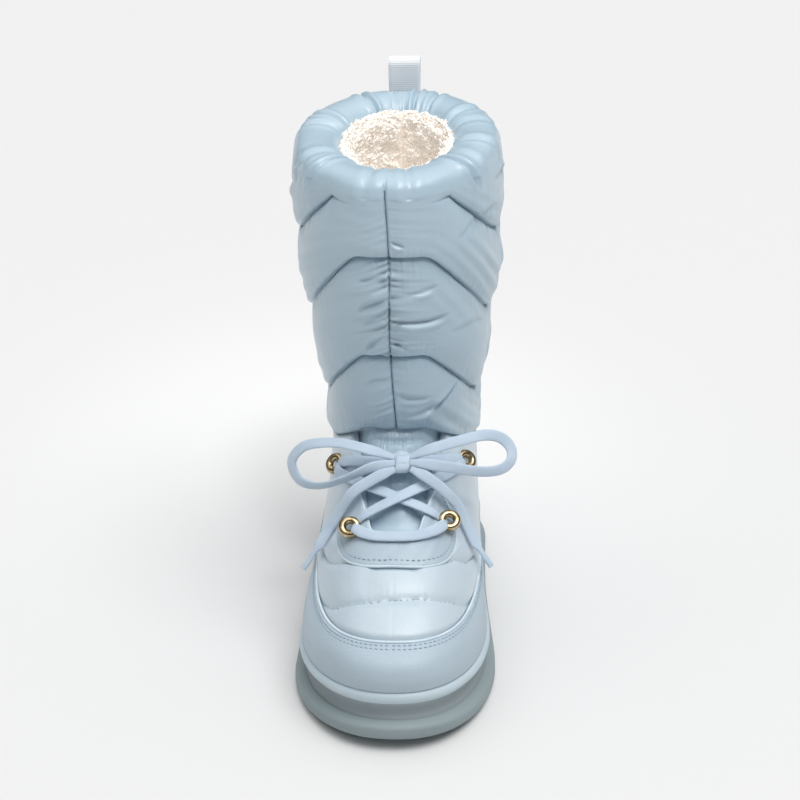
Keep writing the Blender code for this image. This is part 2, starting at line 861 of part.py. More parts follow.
def lace_lift():
    """How far the laced run's middle lies from the upper's skin."""
    return OVERLAY_SEAT + OVERLAY_THICK + 2.0 * GAP + LACE_THICK / 2.0


def bend(start, middle, end, share):
    """A value on the smooth run from start through middle to end."""
    rows = ((0.0, start), (0.5, middle), (1.0, end))
    return look_up(rows, share)[0]


def make_strip(name, start, middle, end, short, group, steps=12):
    """A flat lace over the upper, stopping short of the rings' outsides."""
    spots = []
    for k in range(61):
        angle = math.radians(bend(start[0], middle[0], end[0], k / 60.0))
        level = bend(start[1], middle[1], end[1], k / 60.0)
        spots.append((upper_point(angle, level, lace_lift()), upper_normal(angle, level)))
    clear = RING_OUTER / 2.0 + short
    first = spots[0][0]
    last = spots[-1][0]
    spots = [
        spot for spot in spots
        if (spot[0] - first).length > clear and (spot[0] - last).length > clear
    ]
    spots = [spots[round(k * (len(spots) - 1) / steps)] for k in range(steps + 1)]
    build = bmesh.new()
    rings = []
    for k, (point, normal) in enumerate(spots):
        ahead = spots[min(k + 1, steps)][0] - spots[max(k - 1, 0)][0]
        across = normal.cross(ahead).normalized()
        rings.append([
            build.verts.new(point + across * (a * LACE_WIDTH) + normal * (b * LACE_THICK))
            for a, b in LACE_SECTION
        ])
    sides = len(LACE_SECTION)
    for low, high in zip(rings, rings[1:]):
        for j in range(sides):
            build.faces.new((low[j], low[(j + 1) % sides], high[(j + 1) % sides], high[j]))
    build.faces.new(rings[0])
    build.faces.new(rings[-1])
    outward(build)
    return make_object(name, build, make_material("lace"), group)


def make_laced_run(group, cutters):
    """The bar between the lower rings, and the crossings joined into one solid."""
    places = {name: (angle, level) for name, angle, level, seat in RINGS}
    low_left = places["eyelet_lower_left"]
    low_right = places["eyelet_lower_right"]
    middle = ((low_left[0] + low_right[0]) / 2.0, THROAT_LOW - BAR_DROP)
    make_strip("lace_bar", low_left, middle, low_right, LACE_THICK, group)
    whole = None
    for name, start, end, angle, level in CROSSINGS:
        home = group if whole is None else cutters
        middle = (angle, level)
        strip = make_strip(name, places[start], middle, places[end], LACE_THICK, home)
        if whole is None:
            whole = strip
            whole.name = "lace_crossings"
            continue
        strip.hide_render = True
        strip.display_type = "WIRE"
        join = whole.modifiers.new(name, "BOOLEAN")
        join.operation = "UNION"
        join.solver = "EXACT"
        join.object = strip


def smooth_route(points, spacing):
    """Evenly spaced points of a smooth curve through the route's own points."""
    rows = [(float(k), *point) for k, point in enumerate(points)]
    fine = []
    for k in range(20 * (len(points) - 1) + 1):
        fine.append(Vector(look_up(rows, k / 20.0)))
    length = sum((b - a).length for a, b in zip(fine, fine[1:]))
    count = max(3, round(length / spacing))
    route = [fine[0]]
    travelled = 0.0
    for a, b in zip(fine, fine[1:]):
        travelled += (b - a).length
        if travelled >= len(route) * length / count and len(route) < count:
            route.append(b)
    return route + [fine[-1]]


def make_bow(group):
    lift = lace_lift() + LACE_THICK / 2.0 + GAP + KNOT_THICK / 2.0
    angle = math.radians(KNOT_ANGLE)
    normal = upper_normal(angle, KNOT_LEVEL)
    centre = upper_point(angle, KNOT_LEVEL, lift)
    across = Vector((0.0, 0.0, 1.0)).cross(normal).normalized()
    rise = normal.cross(across)
    turn = Matrix((across, rise, normal)).transposed().to_4x4()
    size = Matrix.Diagonal((KNOT_WIDTH, KNOT_HEIGHT, KNOT_THICK, 1.0))
    build = bmesh.new()
    bmesh.ops.create_cube(build, size=1.0, matrix=Matrix.Translation(centre) @ turn @ size)
    knot = make_object("lace_knot", build, make_material("lace"), group)
    edge = knot.modifiers.new("rounded", "BEVEL")
    edge.width = 0.25 * KNOT_THICK
    edge.segments = 2
    for name, points in BOW_ROUTES.items():
        make_cord(name, [tuple(0.001 * c for c in point) for point in points], group)


def make_cord(name, points, group):
    route = smooth_route(points, LACE_SPACING)
    curve = bpy.data.curves.new(name, "CURVE")
    curve.dimensions = "3D"
    curve.bevel_depth = LACE_TUBE / 2.0
    curve.bevel_resolution = 2
    curve.use_fill_caps = True
    spline = curve.splines.new("POLY")
    spline.points.add(len(route) - 1)
    for spot, point in zip(spline.points, route):
        spot.co = (*point, 1.0)
    item = bpy.data.objects.new(name, curve)
    curve.materials.append(make_material("lace"))
    group.objects.link(item)


def make_rings(group):
    for name, angle, level, seat in RINGS:
        centre, axis = ring_place(angle, level, seat)
        turn = axis.to_track_quat("Z", "Y")
        bpy.ops.mesh.primitive_torus_add(
            location=centre,
            rotation=turn.to_euler(),
            major_segments=16,
            minor_segments=6,
            major_radius=(RING_OUTER - RING_TUBE) / 2.0,
            minor_radius=RING_TUBE / 2.0,
        )
        ring = bpy.context.object
        ring.name = name
        ring.data.name = name
        ring.data.materials.append(make_material("brass"))
        ring.data.shade_smooth()
        for old in list(ring.users_collection):
            old.objects.unlink(ring)
        group.objects.link(ring)


def main():
    clear_scene()
    group = make_collection(NAME)
    cutters = make_collection("cutters")
    make_outsole(group, cutters)
    make_midsole(group)
    make_insole(group)
    make_upper(group)
    make_tongue(group)
    make_rand(group)
    make_eyestay(group)
    make_shaft(group)
    make_pull_loop(group)
    make_rings(group)
    make_laced_run(group, cutters)
    make_bow(group)


main()
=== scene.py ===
"""Looks of the apres ski boot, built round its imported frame.

Metres, in the frame of the CAD: +Z up, toe towards -Y, +X on the medial side.
phi is the angle round the boot from the toe, growing over the medial side. level is the
share of the way up a part, and tables in millimetres or degrees say so.
"""
import math

import bmesh
import bpy
import numpy as np
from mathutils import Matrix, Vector, noise


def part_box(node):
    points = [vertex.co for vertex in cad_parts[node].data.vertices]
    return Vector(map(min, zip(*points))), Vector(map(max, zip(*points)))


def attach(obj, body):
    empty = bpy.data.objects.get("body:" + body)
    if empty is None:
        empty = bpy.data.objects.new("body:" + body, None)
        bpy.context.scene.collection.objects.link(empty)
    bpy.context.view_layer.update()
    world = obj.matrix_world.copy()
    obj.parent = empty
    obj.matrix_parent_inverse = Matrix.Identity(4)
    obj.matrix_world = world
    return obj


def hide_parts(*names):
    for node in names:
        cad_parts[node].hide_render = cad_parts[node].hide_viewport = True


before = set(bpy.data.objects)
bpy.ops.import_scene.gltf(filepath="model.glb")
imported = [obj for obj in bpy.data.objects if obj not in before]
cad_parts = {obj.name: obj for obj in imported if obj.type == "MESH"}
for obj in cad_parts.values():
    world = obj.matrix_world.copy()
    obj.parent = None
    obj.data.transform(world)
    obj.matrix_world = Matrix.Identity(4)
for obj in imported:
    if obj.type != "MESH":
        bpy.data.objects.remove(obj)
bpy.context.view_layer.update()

MM = 0.001
FULL_TURN = 2.0 * math.pi

# Sizes of the source
GAP = 0.0003
OVERLAY_SEAT = 0.0008
LENGTH = 0.280
SOLE_Y = -0.0035
BALL_WIDTH = 0.116
WAIST_WIDTH = 0.101
HEEL_WIDTH = 0.095
TOE_ROUND = 0.080
HEEL_ROUND = 0.052
TOE_BLUNT = 0.45
HEEL_BLUNT = 0.48
TOE_SWING = 0.0030
SOLE_TOE = 0.0295
SOLE_BALL = 0.030
SOLE_HEEL = 0.036
TOE_SPRING = 0.0078
TOE_SPRING_RUN = 0.082
HEEL_SPRING = 0.002
HEEL_SPRING_RUN = 0.020
ARCH_RISE = 0.003
ARCH_CENTRE = 0.56
ARCH_REACH = 0.11
SOLE_STEP = 0.007
TREAD_SHARE = 0.38
UPPER_INSET = 0.0072
UPPER_WALL = 0.0030
THROAT_LOW = 0.63
THROAT_ANGLE_LOW = 16.0
THROAT_ANGLE_MIDDLE = 25.0
THROAT_ANGLE_TOP = 360.0 * 5.0 / 44.0
OVERLAY_THICK = 0.0015
RAND_THICK = 0.0018
ANKLE_WIDTH = 0.081
ANKLE_DEPTH = 0.120
ANKLE_Y = 0.0575
ANKLE_SIDE = 0.102
BOOT_HEIGHT = 0.290
COLLAR_BACK_RISE = 0.004
COLLAR_WIDTH = 0.113
COLLAR_DEPTH = 0.141
COLLAR_Y = 0.0605
SHAFT_LEAN = -0.0012
SHAFT_BELLY = 0.0040
PUFF = 0.0054
FULL_ROW = 0.030
COLLAR_WALL = 0.0250
SEAM_VALLEY = 82.0
RING_OUTER = 0.0128
RING_TUBE = 0.0040
LACE_WIDTH = 0.0066
LACE_THICK = 0.0026
LACE_FLAT = 0.0020
KNOT_WIDTH = 0.0080
KNOT_HEIGHT = 0.0100
KNOT_THICK = 0.0065
KNOT_ANGLE = 4.2
KNOT_LEVEL = 0.852

OUTLINE = (
    (0.00, BALL_WIDTH, 0.478, 0.490), (0.18, BALL_WIDTH, 0.497, 0.498),
    (0.31, BALL_WIDTH, 0.502, 0.498), (0.43, BALL_WIDTH, 0.490, 0.470),
    (0.57, WAIST_WIDTH, 0.520, 0.497), (0.70, WAIST_WIDTH, 0.490, 0.480),
    (0.81, HEEL_WIDTH, 0.502, 0.502), (1.00, HEEL_WIDTH, 0.495, 0.495),
)
WIDTHS = tuple((share, width * a, width * b) for share, width, a, b in OUTLINE)
SOLE_HEIGHTS = (
    (0.00, SOLE_TOE), (0.25, SOLE_BALL), (0.45, SOLE_BALL + 0.25 * (SOLE_HEEL - SOLE_BALL)),
    (0.70, SOLE_HEEL), (1.00, SOLE_HEEL),
)
TREAD_SIDE = (
    (0.00, 0.30), (0.05, 0.08), (0.16, 0.00), (0.27, 0.10), (TREAD_SHARE, 0.74),
)
MIDSOLE_SIDE = (
    (TREAD_SHARE, 0.84), (0.48, 0.98), (0.66, 0.92), (0.76, 0.60), (0.84, 0.42), (0.93, 0.50),
    (1.00, 0.86),
)
UPPER_RISE = (
    (0.00, 0.000, 0.000, 0.000, 0.000, 0.000, 0.000, 0.000, 0.000),
    (0.08, -0.004, 0.075, 0.040, 0.110, 0.060, 0.110, -0.060, 0.110),
    (0.17, 0.026, 0.145, 0.190, 0.230, 0.150, 0.230, -0.040, 0.230),
    (0.27, 0.105, 0.205, 0.440, 0.350, 0.270, 0.350, 0.100, 0.360),
    (0.37, 0.235, 0.305, 0.640, 0.480, 0.380, 0.480, 0.380, 0.490),
    (0.50, 0.420, 0.440, 0.780, 0.610, 0.540, 0.610, 0.720, 0.620),
    (THROAT_LOW, 0.600, 0.580, 0.880, 0.740, 0.720, 0.740, 1.000, 0.740),
    (0.76, 0.755, 0.705, 0.910, 0.850, 0.860, 0.850, 1.100, 0.860),
    (0.88, 0.890, 0.850, 0.970, 0.930, 0.950, 0.930, 1.060, 0.940),
    (1.00, 1.000, 1.000, 1.000, 1.000, 1.000, 1.000, 1.000, 1.000),
)
SEAM_ARCH = (
    (0.00, 1.00), (0.14, 1.00), (0.26, 0.97), (0.38, 0.82), (0.50, 0.64), (0.64, 0.44),
    (0.82, 0.19), (1.00, 0.00),
)
SEAMS = (
    (0.157, 0.000, 0.130), (0.418, 0.165, 0.400), (0.750, 0.452, 0.730), (0.985, 0.712, 0.900),
    (1.000, 1.000, 1.000),
)
SHAFT_TAPER = (
    (0.00, 0.00), (0.17, 0.12), (0.45, 0.62), (0.71, 0.96), (1.00, 1.00),
)
COLLAR_ROLL = (
    (0.360, -0.01), (0.190, 0.06), (0.065, 0.17), (0.000, 0.36), (0.030, 0.60), (0.130, 0.81),
    (0.310, 0.95),
)
ROLL_GIVE = (0.08, 0.34, 0.66, 0.92, 1.0, 1.0, 1.0)
LINING = (
    (0.92, 1.00), (0.86, 0.92), (0.74, 0.66), (0.55, 0.52), (0.32, 0.44), (0.12, 0.41),
    (0.00, 0.34),
)
RAND_EDGE = (
    (0.0, 0.278), (25.0, 0.276), (45.0, 0.290), (62.0, 0.330), (80.0, 0.390), (120.0, 0.400),
    (150.0, 0.460), (180.0, 0.560),
)
EYESTAY_HALF = (
    (0.0, 0.618, 0.0, 0.520), (7.0, 0.618, 10.0, 0.515), (12.5, 0.620, 20.0, 0.508),
    (15.3, 0.635, 31.0, 0.512), (17.0, 0.660, 38.5, 0.540), (19.5, 0.690, 40.5, 0.590),
    (22.5, 0.730, 38.0, 0.670), (26.0, 0.765, 30.0, 0.765),
)
# Degrees from the toe, level and seat. The lower left ring lies about 4 mm from the
# source's place, towards its place in the photograph.
RINGS = {
    "eyelet_lower_left": (-24.9, 0.613, OVERLAY_SEAT + OVERLAY_THICK),
    "eyelet_lower_right": (31.5, 0.635, OVERLAY_SEAT + OVERLAY_THICK),
    "eyelet_upper_left": (-53.0, 0.830, 0.0),
    "eyelet_upper_right": (56.0, 0.850, 0.0),
}
# Millimetres. The right loop is wider than the source's, for a gentler bend.
BOW_ROUTES = {
    "lace_loop_left": (
        (-0.6, -26.9, 123.9), (-12.9, -27.5, 128.6), (-29.8, -22.5, 130.3),
        (-43.3, -17.5, 128.1), (-55.0, -14.5, 123.6), (-61.8, -13.5, 113.5),
        (-58.0, -17.5, 104.3), (-49.8, -21.5, 102.3), (-39.9, -25.5, 105.0),
        (-28.2, -29.5, 111.7), (-16.1, -32.5, 119.2), (-7.0, -31.6, 121.8),
        (-0.1, -30.0, 121.9),
    ),
    "lace_loop_right": (
        (8.8, -26.0, 123.9), (21.1, -26.0, 129.4), (37.8, -20.5, 132.2),
        (50.7, -14.0, 132.4), (60.0, -11.2, 129.6), (66.0, -12.4, 124.0),
        (66.6, -17.0, 118.0), (60.6, -22.0, 114.4), (48.2, -26.4, 115.2),
        (30.4, -30.6, 120.2), (17.0, -31.0, 122.4), (8.9, -29.1, 121.9),
    ),
    "lace_end_left": (
        (0.1, -32.3, 119.2), (-6.0, -34.6, 117.6), (-12.7, -36.0, 114.4),
        (-24.3, -37.5, 106.5), (-31.3, -37.5, 95.6), (-38.9, -38.0, 83.0),
        (-45.0, -41.5, 73.0), (-54.0, -46.5, 60.0),
    ),
    "lace_end_right": (
        (9.2, -31.4, 119.2), (18.0, -34.6, 116.0), (27.8, -35.0, 107.8),
        (36.0, -33.5, 96.8), (41.5, -36.0, 85.5), (45.5, -40.0, 78.0),
        (50.0, -44.0, 72.0), (56.0, -47.5, 64.0),
    ),
}


# Numbers and curves

def look_up(rows, place):
    """Smooth values between the rows of a table whose first column is place."""
    table = np.asarray(rows, float)
    keys = table[:, 0]
    values = table[:, 1:]
    place = np.clip(np.asarray(place, float), keys[0], keys[-1])
    k = np.clip(np.searchsorted(keys, place, side="right") - 1, 0, len(keys) - 2)
    before = np.maximum(k - 1, 0)
    after = np.minimum(k + 2, len(keys) - 1)
    step = (keys[k + 1] - keys[k])[..., None]
    t = (place - keys[k])[..., None] / step
    low = values[k]
    high = values[k + 1]
    slope_low = (high - values[before]) / (keys[k + 1] - keys[before])[..., None] * step
    slope_high = (values[after] - low) / (keys[after] - keys[k])[..., None] * step
    return (
        (2 * t ** 3 - 3 * t ** 2 + 1) * low
        + (t ** 3 - 2 * t ** 2 + t) * slope_low
        + (3 * t ** 2 - 2 * t ** 3) * high
        + (t ** 3 - t ** 2) * slope_high
    )


def value_at(rows, place):
    return look_up(rows, place)[..., 0]


def resample(rows, count):
    """Count rows along the smooth curve through rows of control points."""
    rows = np.asarray(rows, float)
    keys = np.arange(len(rows), dtype=float)
    table = np.column_stack([keys, rows.reshape(len(rows), -1)])
    fine = look_up(table, np.linspace(0.0, keys[-1], count))
    return fine.reshape((count,) + rows.shape[1:])


def mix(a, b, share):
    return a + (b - a) * share


def smooth_step(value):
    value = np.clip(value, 0.0, 1.0)
    return value * value * (3.0 - 2.0 * value)


def bump(distance, width):
    return np.exp(-(distance / width) ** 2)


def beside(distance, reach, gap=0.0009):
    """Nothing on a seam, most just beside it, fading over the reach."""
    return np.exp(-distance / reach) * (1.0 - np.exp(-distance / gap))


def eased_edge(past):
    """Height of a rounded edge, from 1 where it starts to 0 at its end."""
    return math.sqrt(max(0.0, 1.0 - max(0.0, past) ** 2))


def squarer(value, power):
    """A sine or cosine with its corners pushed out."""
    return np.sign(value) * np.abs(value) ** power


def circle(count):
    return np.linspace(0.0, FULL_TURN, count, endpoint=False)


def wrapped(angle):
    return np.mod(angle + math.pi, FULL_TURN) - math.pi


def stack(x, y, z):
    return np.stack(np.broadcast_arrays(x, y, z), -1)


def unit(vectors):
    return vectors / np.maximum(np.linalg.norm(vectors, axis=-1, keepdims=True), 1e-12)


def run_along(path):
    steps = np.linalg.norm(np.diff(path, axis=0), axis=1)
    return np.concatenate([[0.0], np.cumsum(steps)])


def at_run(places, run, values):
    return np.stack([np.interp(places, run, values[:, c]) for c in range(3)], -1)


def smooth_route(points, count):
    """Evenly spaced points of a smooth curve through the route's own, and its length."""
    fine = resample(points, 40 * len(points))
    run = run_along(fine)
    return at_run(np.linspace(0.0, run[-1], count), run, fine), run[-1]


def ripple(place, seed, low=1.0, count=5):
    """A smooth random wave of about unit height; low is its longest wave's count."""
    draw = np.random.default_rng(seed)
    total = 0.0
    for k in range(count):
        rate = low * (1.0 + 0.62 * k) * draw.uniform(0.85, 1.15)
        total = total + np.sin(place * rate + draw.uniform(0.0, FULL_TURN))
    return total / math.sqrt(count)


# Forms of the source

def fold(phi):
    phi = np.mod(phi, FULL_TURN)
    return np.where(phi <= math.pi, phi, FULL_TURN - phi)


def outline(phi, inset):
    share = (1.0 - np.cos(phi)) / 2.0
    medial = np.sin(phi) >= 0.0
    widths = look_up(WIDTHS, share)
    half = np.where(medial, widths[..., 1], widths[..., 0]) - inset
    toe_away = share * LENGTH
    heel_away = LENGTH - toe_away
    toe = np.clip(1.0 - np.clip(1.0 - toe_away / TOE_ROUND, 0.0, 1.0) ** 2, 0.0, 1.0)
    heel = np.clip(1.0 - np.clip(1.0 - heel_away / HEEL_ROUND, 0.0, 1.0) ** 2, 0.0, 1.0)
    half = half * toe ** TOE_BLUNT * heel ** HEEL_BLUNT
    swing = TOE_SWING * np.clip(1.0 - toe_away / TOE_ROUND, 0.0, None) ** 2
    x = np.where(medial, half, -half) + swing
    return x, SOLE_Y - np.cos(phi) * (LENGTH / 2.0 - inset)


def toe_share(y):
    return 0.5 + (y - SOLE_Y) / LENGTH


def toe_spring(y):
    return TOE_SPRING * np.clip(1.0 - toe_share(y) * LENGTH / TOE_SPRING_RUN, 0.0, None) ** 2


def ground(y):
    share = toe_share(y)
    bevel = np.clip(1.0 - (1.0 - share) * LENGTH / HEEL_SPRING_RUN, 0.0, None) ** 2
    arch = ARCH_RISE * smooth_step(1.0 - np.abs(share - ARCH_CENTRE) / ARCH_REACH)
    return toe_spring(y) + HEEL_SPRING * bevel + arch


def sole_top(y):
    return toe_spring(y) + value_at(SOLE_HEIGHTS, toe_share(y))


def sole_point(phi, inset, level, lift=0.0):
    x, y = outline(phi, inset)
    return stack(x, y, mix(ground(y), sole_top(y), level) + lift)


def seam_height(index, phi):
    front, side, back = SEAMS[index]
    valley = math.radians(SEAM_VALLEY)
    turn = fold(phi)
    fore = mix(side, front, value_at(SEAM_ARCH, np.clip(turn / valley, 0.0, 1.0)))
    away = np.clip((math.pi - turn) / (math.pi - valley), 0.0, 1.0)
    aft = mix(side, back, value_at(SEAM_ARCH, away))
    rim = BOOT_HEIGHT + COLLAR_BACK_RISE * smooth_step(turn / math.pi)
    return mix(ANKLE_SIDE, rim, np.where(turn <= valley, fore, aft))


def shaft_point(phi, z, out):
    share = np.clip((z - ANKLE_SIDE) / (BOOT_HEIGHT - ANKLE_SIDE), 0.0, 1.0)
    grow = value_at(SHAFT_TAPER, share)
    half_x = mix(ANKLE_WIDTH, COLLAR_WIDTH, grow) / 2.0
    half_y = mix(ANKLE_DEPTH, COLLAR_DEPTH, grow) / 2.0
    centre_y = mix(ANKLE_Y, COLLAR_Y, share) - SHAFT_BELLY * np.sin(math.pi * share)
    x = SHAFT_LEAN * share + (half_x + out) * np.sin(phi)
    y = centre_y - (half_y + out) * np.cos(phi)
    return stack(x, y, z)


def upper_skin(phi, level):
    phi, level = np.broadcast_arrays(phi, level)
    base = sole_point(phi, UPPER_INSET, 1.0, GAP)
    ankle = shaft_point(phi, seam_height(0, phi), 0.0)
    row = look_up(UPPER_RISE, level)
    medial = np.sin(phi) >= 0.0
    side_in = np.where(medial, row[..., 4], row[..., 2])
    side_up = np.where(medial, row[..., 5], row[..., 3])
    turn = np.cos(phi)
    end_in = np.where(turn >= 0.0, row[..., 0], row[..., 6])
    end_up = np.where(turn >= 0.0, row[..., 1], row[..., 7])
    blend = smooth_step(np.abs(turn))
    inward = mix(side_in, end_in, blend)
    upward = mix(side_up, end_up, blend)
    share = stack(inward, inward, upward)
    return base + (ankle - base) * share


def upper_normal(phi, level):
    step = 0.012
    low = np.clip(level - step, 0.0, 1.0)
    high = np.clip(level + step, 0.0, 1.0)
    along = upper_skin(phi + step, level) - upper_skin(phi - step, level)
    up = upper_skin(phi, high) - upper_skin(phi, low)
    return unit(np.cross(along, up))


def upper_point(phi, level, out=0.0):
    phi, level, out = np.broadcast_arrays(phi, level, out)
    skin = upper_skin(phi, level)
    point = skin + upper_normal(phi, level) * out[..., None]
    flat = (level <= 0.0) | (level >= 1.0)
    point[..., 2] = np.where(flat, skin[..., 2], point[..., 2])
    return point


def throat_angle(level):
    share = np.clip((level - THROAT_LOW) / (1.0 - THROAT_LOW), 0.0, 1.0)
    rows = ((0.0, THROAT_ANGLE_LOW), (0.4, THROAT_ANGLE_MIDDLE), (1.0, THROAT_ANGLE_TOP))
    return np.radians(value_at(rows, share))


def rand_level(phi):
    return value_at(RAND_EDGE, np.degrees(fold(phi)))


# Meshes

def grid_faces(rows, columns, closed_rows, closed_columns):
    i = np.arange(rows if closed_rows else rows - 1)[:, None]
    j = np.arange(columns if closed_columns else columns - 1)[None, :]
    up = (i + 1) % rows
    across = (j + 1) % columns
    corners = (i * columns + j, i * columns + across, up * columns + across, up * columns + j)
    return np.stack(np.broadcast_arrays(*corners), -1).reshape(-1, 4)


def tube_faces(count, sides, closed=False):
    """Faces of count rings, with a lid on either end unless they close on themselves."""
    faces = grid_faces(count, sides, closed, True).tolist()
    if not closed:
        faces += [list(range(sides)), list(range((count - 1) * sides, count * sides))]
    return faces


def sheet_faces(rows, columns):
    """Faces of a sheet whose rows run over its front and back again, its ends closed."""
    faces = grid_faces(rows, columns, True, False).tolist()
    for j in (0, columns - 1):
        for i in range(rows // 2 - 1):
            corners = (i, i + 1, rows - 2 - i, rows - 1 - i)
            faces.append([k * columns + j for k in corners])
    return faces


def capped_faces(rows, columns):
    """Faces of stacked rings whose two ends are closed by strips across the boot."""
    faces = grid_faces(rows, columns, False, True).tolist()
    for start in (0, (rows - 1) * columns):
        for j in range(columns // 2):
            corners = [j, j + 1, (-j - 1) % columns, -j % columns]
            faces.append([start + c for c in dict.fromkeys(corners)])
    return faces


def add_object(name, data):
    item = bpy.data.objects.new(name, data)
    bpy.context.scene.collection.objects.link(item)
    return item


def piece(name, points, faces, material, replaced=(), sharp=None, uv=None):
    """A mesh piece that rides on the body and stands for the CAD nodes it names."""
    mesh = bpy.data.meshes.new(name)
    mesh.from_pydata(np.asarray(points).reshape(-1, 3).tolist(), [], [list(f) for f in faces])
    build = bmesh.new()
    build.from_mesh(mesh)
    bmesh.ops.recalc_face_normals(build, faces=build.faces)
    if build.calc_volume(signed=True) < 0.0:
        bmesh.ops.reverse_faces(build, faces=build.faces)
    if uv is not None:
        layer = build.loops.layers.uv.new("lay")
        for face in build.faces:
            for loop in face.loops:
                loop[layer].uv = uv[loop.vert.index]
    build.to_mesh(mesh)
    build.free()
    mesh.materials.append(material)
    mesh.shade_smooth()
    if sharp is not None:
        mesh.set_sharp_from_angle(angle=math.radians(sharp))
    item = add_object(name, mesh)
    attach(item, "root")
    if replaced:
        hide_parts(*replaced)
    return item


def tube(name, path, radius, material, sides=8, closed=False):
    """A round tube along a path."""
    ahead = np.roll(path, -1, 0) - np.roll(path, 1, 0)
    if not closed:
        ahead[0] = path[1] - path[0]
        ahead[-1] = path[-1] - path[-2]
    ahead = unit(ahead)
    side = unit(np.cross(ahead, np.array([0.0, 0.0, 1.0]) + 0.001))
    up = np.cross(side, ahead)
    turn = circle(sides)[None, :, None]
    points = path[:, None] + radius * (np.cos(turn) * side[:, None] + np.sin(turn) * up[:, None])
    piece(name, points, tube_faces(len(path), sides, closed), material)


# A stitch from end to end: place along it, half width and lift
STITCH = np.array([
    (-0.5, 0.35, -0.55), (-0.36, 0.95, 0.1), (0.0, 1.0, 0.35), (0.36, 0.95, 0.1),
    (0.5, 0.35, -0.55),
])
STITCH_SIDES = 6


def stitch_row(name, path, normals, length, space, thick):
    """Sewn stitches of these millimetres, short bowed spindles joined in one mesh."""
    run = run_along(path)
    pitch = (length + space) * MM
    shares, widths, lifts = STITCH.T
    turn = circle(STITCH_SIDES)
    each = len(STITCH) * STITCH_SIDES
    points = []
    faces = []
    for k in range(int(run[-1] / pitch)):
        middle = (k + 0.5) * pitch + shares * length * MM
        spot = at_run(middle, run, path)
        up = unit(at_run(middle, run, normals))
        side = unit(np.cross(unit(np.gradient(spot, axis=0)), up))
        half = (thick * MM * widths)[:, None]
        points.append(
            spot[:, None] + up[:, None] * (lifts * thick * MM)[:, None, None]
            + side[:, None] * (half * np.cos(turn))[..., None]
            + up[:, None] * (half * np.sin(turn))[..., None] * 0.8
        )
        lids = tube_faces(len(STITCH), STITCH_SIDES)
        faces += [[k * each + corner for corner in face] for face in lids]
    # The stitches' darker colour is painted shade of the stitch holes
    piece(name, np.concatenate(points), faces, THREAD_PAINTED_DARKER)


# Materials

def new_node(tree, kind, **inputs):
    node = tree.nodes.new("ShaderNode" + kind)
    for name, value in inputs.items():
        node.inputs[name].default_value = value
    return node


def texture(tree, kind, scale, extra=2.0, stretch=(1.0, 1.0, 1.0), turn=0.0, source="Object"):
    """Value of a texture; extra is a noise's detail or a wave's direction."""
    coords = new_node(tree, "TexCoord")
    mapping = new_node(tree, "Mapping", Scale=stretch, Rotation=(0.0, 0.0, math.radians(turn)))
    node = new_node(tree, "Tex" + kind, Scale=scale)
    if kind == "Noise":
        node.inputs["Detail"].default_value = extra
    elif kind == "Wave":
        node.bands_direction = extra
    tree.links.new(coords.outputs[source], mapping.inputs["Vector"])
    tree.links.new(mapping.outputs["Vector"], node.inputs["Vector"])
    return node.outputs["Distance" if kind == "Voronoi" else "Fac"]


def make_material(name, colour, roughness, tone=None, bumps=(), ends=(0.35, 0.65), **inputs):
    """A procedural surface.

    tone is a noise's scale and detail and the two colours it mixes between its ends.
    Each bump is a depth in millimetres, a strength and a texture.
    """
    material = bpy.data.materials.new(name)
    material.use_nodes = True
    tree = material.node_tree
    shader = tree.nodes["Principled BSDF"]
    shader.inputs["Base Color"].default_value = (*colour, 1.0)
    shader.inputs["Roughness"].default_value = roughness
    for label, value in inputs.items():
        shader.inputs[label.replace("_", " ")].default_value = value
    if tone:
        ramp = new_node(tree, "ValToRGB")
        for element, place, shade in zip(ramp.color_ramp.elements, ends, tone[2:]):
            element.position = place
            element.color = (*shade, 1.0)
        tree.links.new(texture(tree, "Noise", *tone[:2]), ramp.inputs["Fac"])
        tree.links.new(ramp.outputs["Color"], shader.inputs["Base Color"])
    before = None
    for depth, strength, *kind in bumps:
        node = new_node(tree, "Bump", Distance=depth * MM, Strength=strength)
        tree.links.new(texture(tree, *kind), node.inputs["Height"])
        if before is not None:
            tree.links.new(before, node.inputs["Normal"])
        before = node.outputs["Normal"]
    if before is not None:
        tree.links.new(before, shader.inputs["Normal"])
    return material


def nylon(name, low, high):
    return make_material(name, high, 0.34, (9.0, 2.0, low, high), (
        (2.6, 0.42, "Noise", 34.0, 3.0, (1.0, 1.0, 1.7)),
        (1.2, 0.34, "Noise", 70.0, 4.0),
        (0.10, 0.35, "Noise", 1900.0, 1.0),
    ), Coat_Weight=0.30, Coat_Roughness=0.30)


def rubber(name, low, high):
    return make_material(name, high, 0.58, (22.0, 4.0, low, high), (
        (0.25, 0.3, "Noise", 160.0), (0.16, 0.45, "Noise", 1500.0, 3.0),
    ))


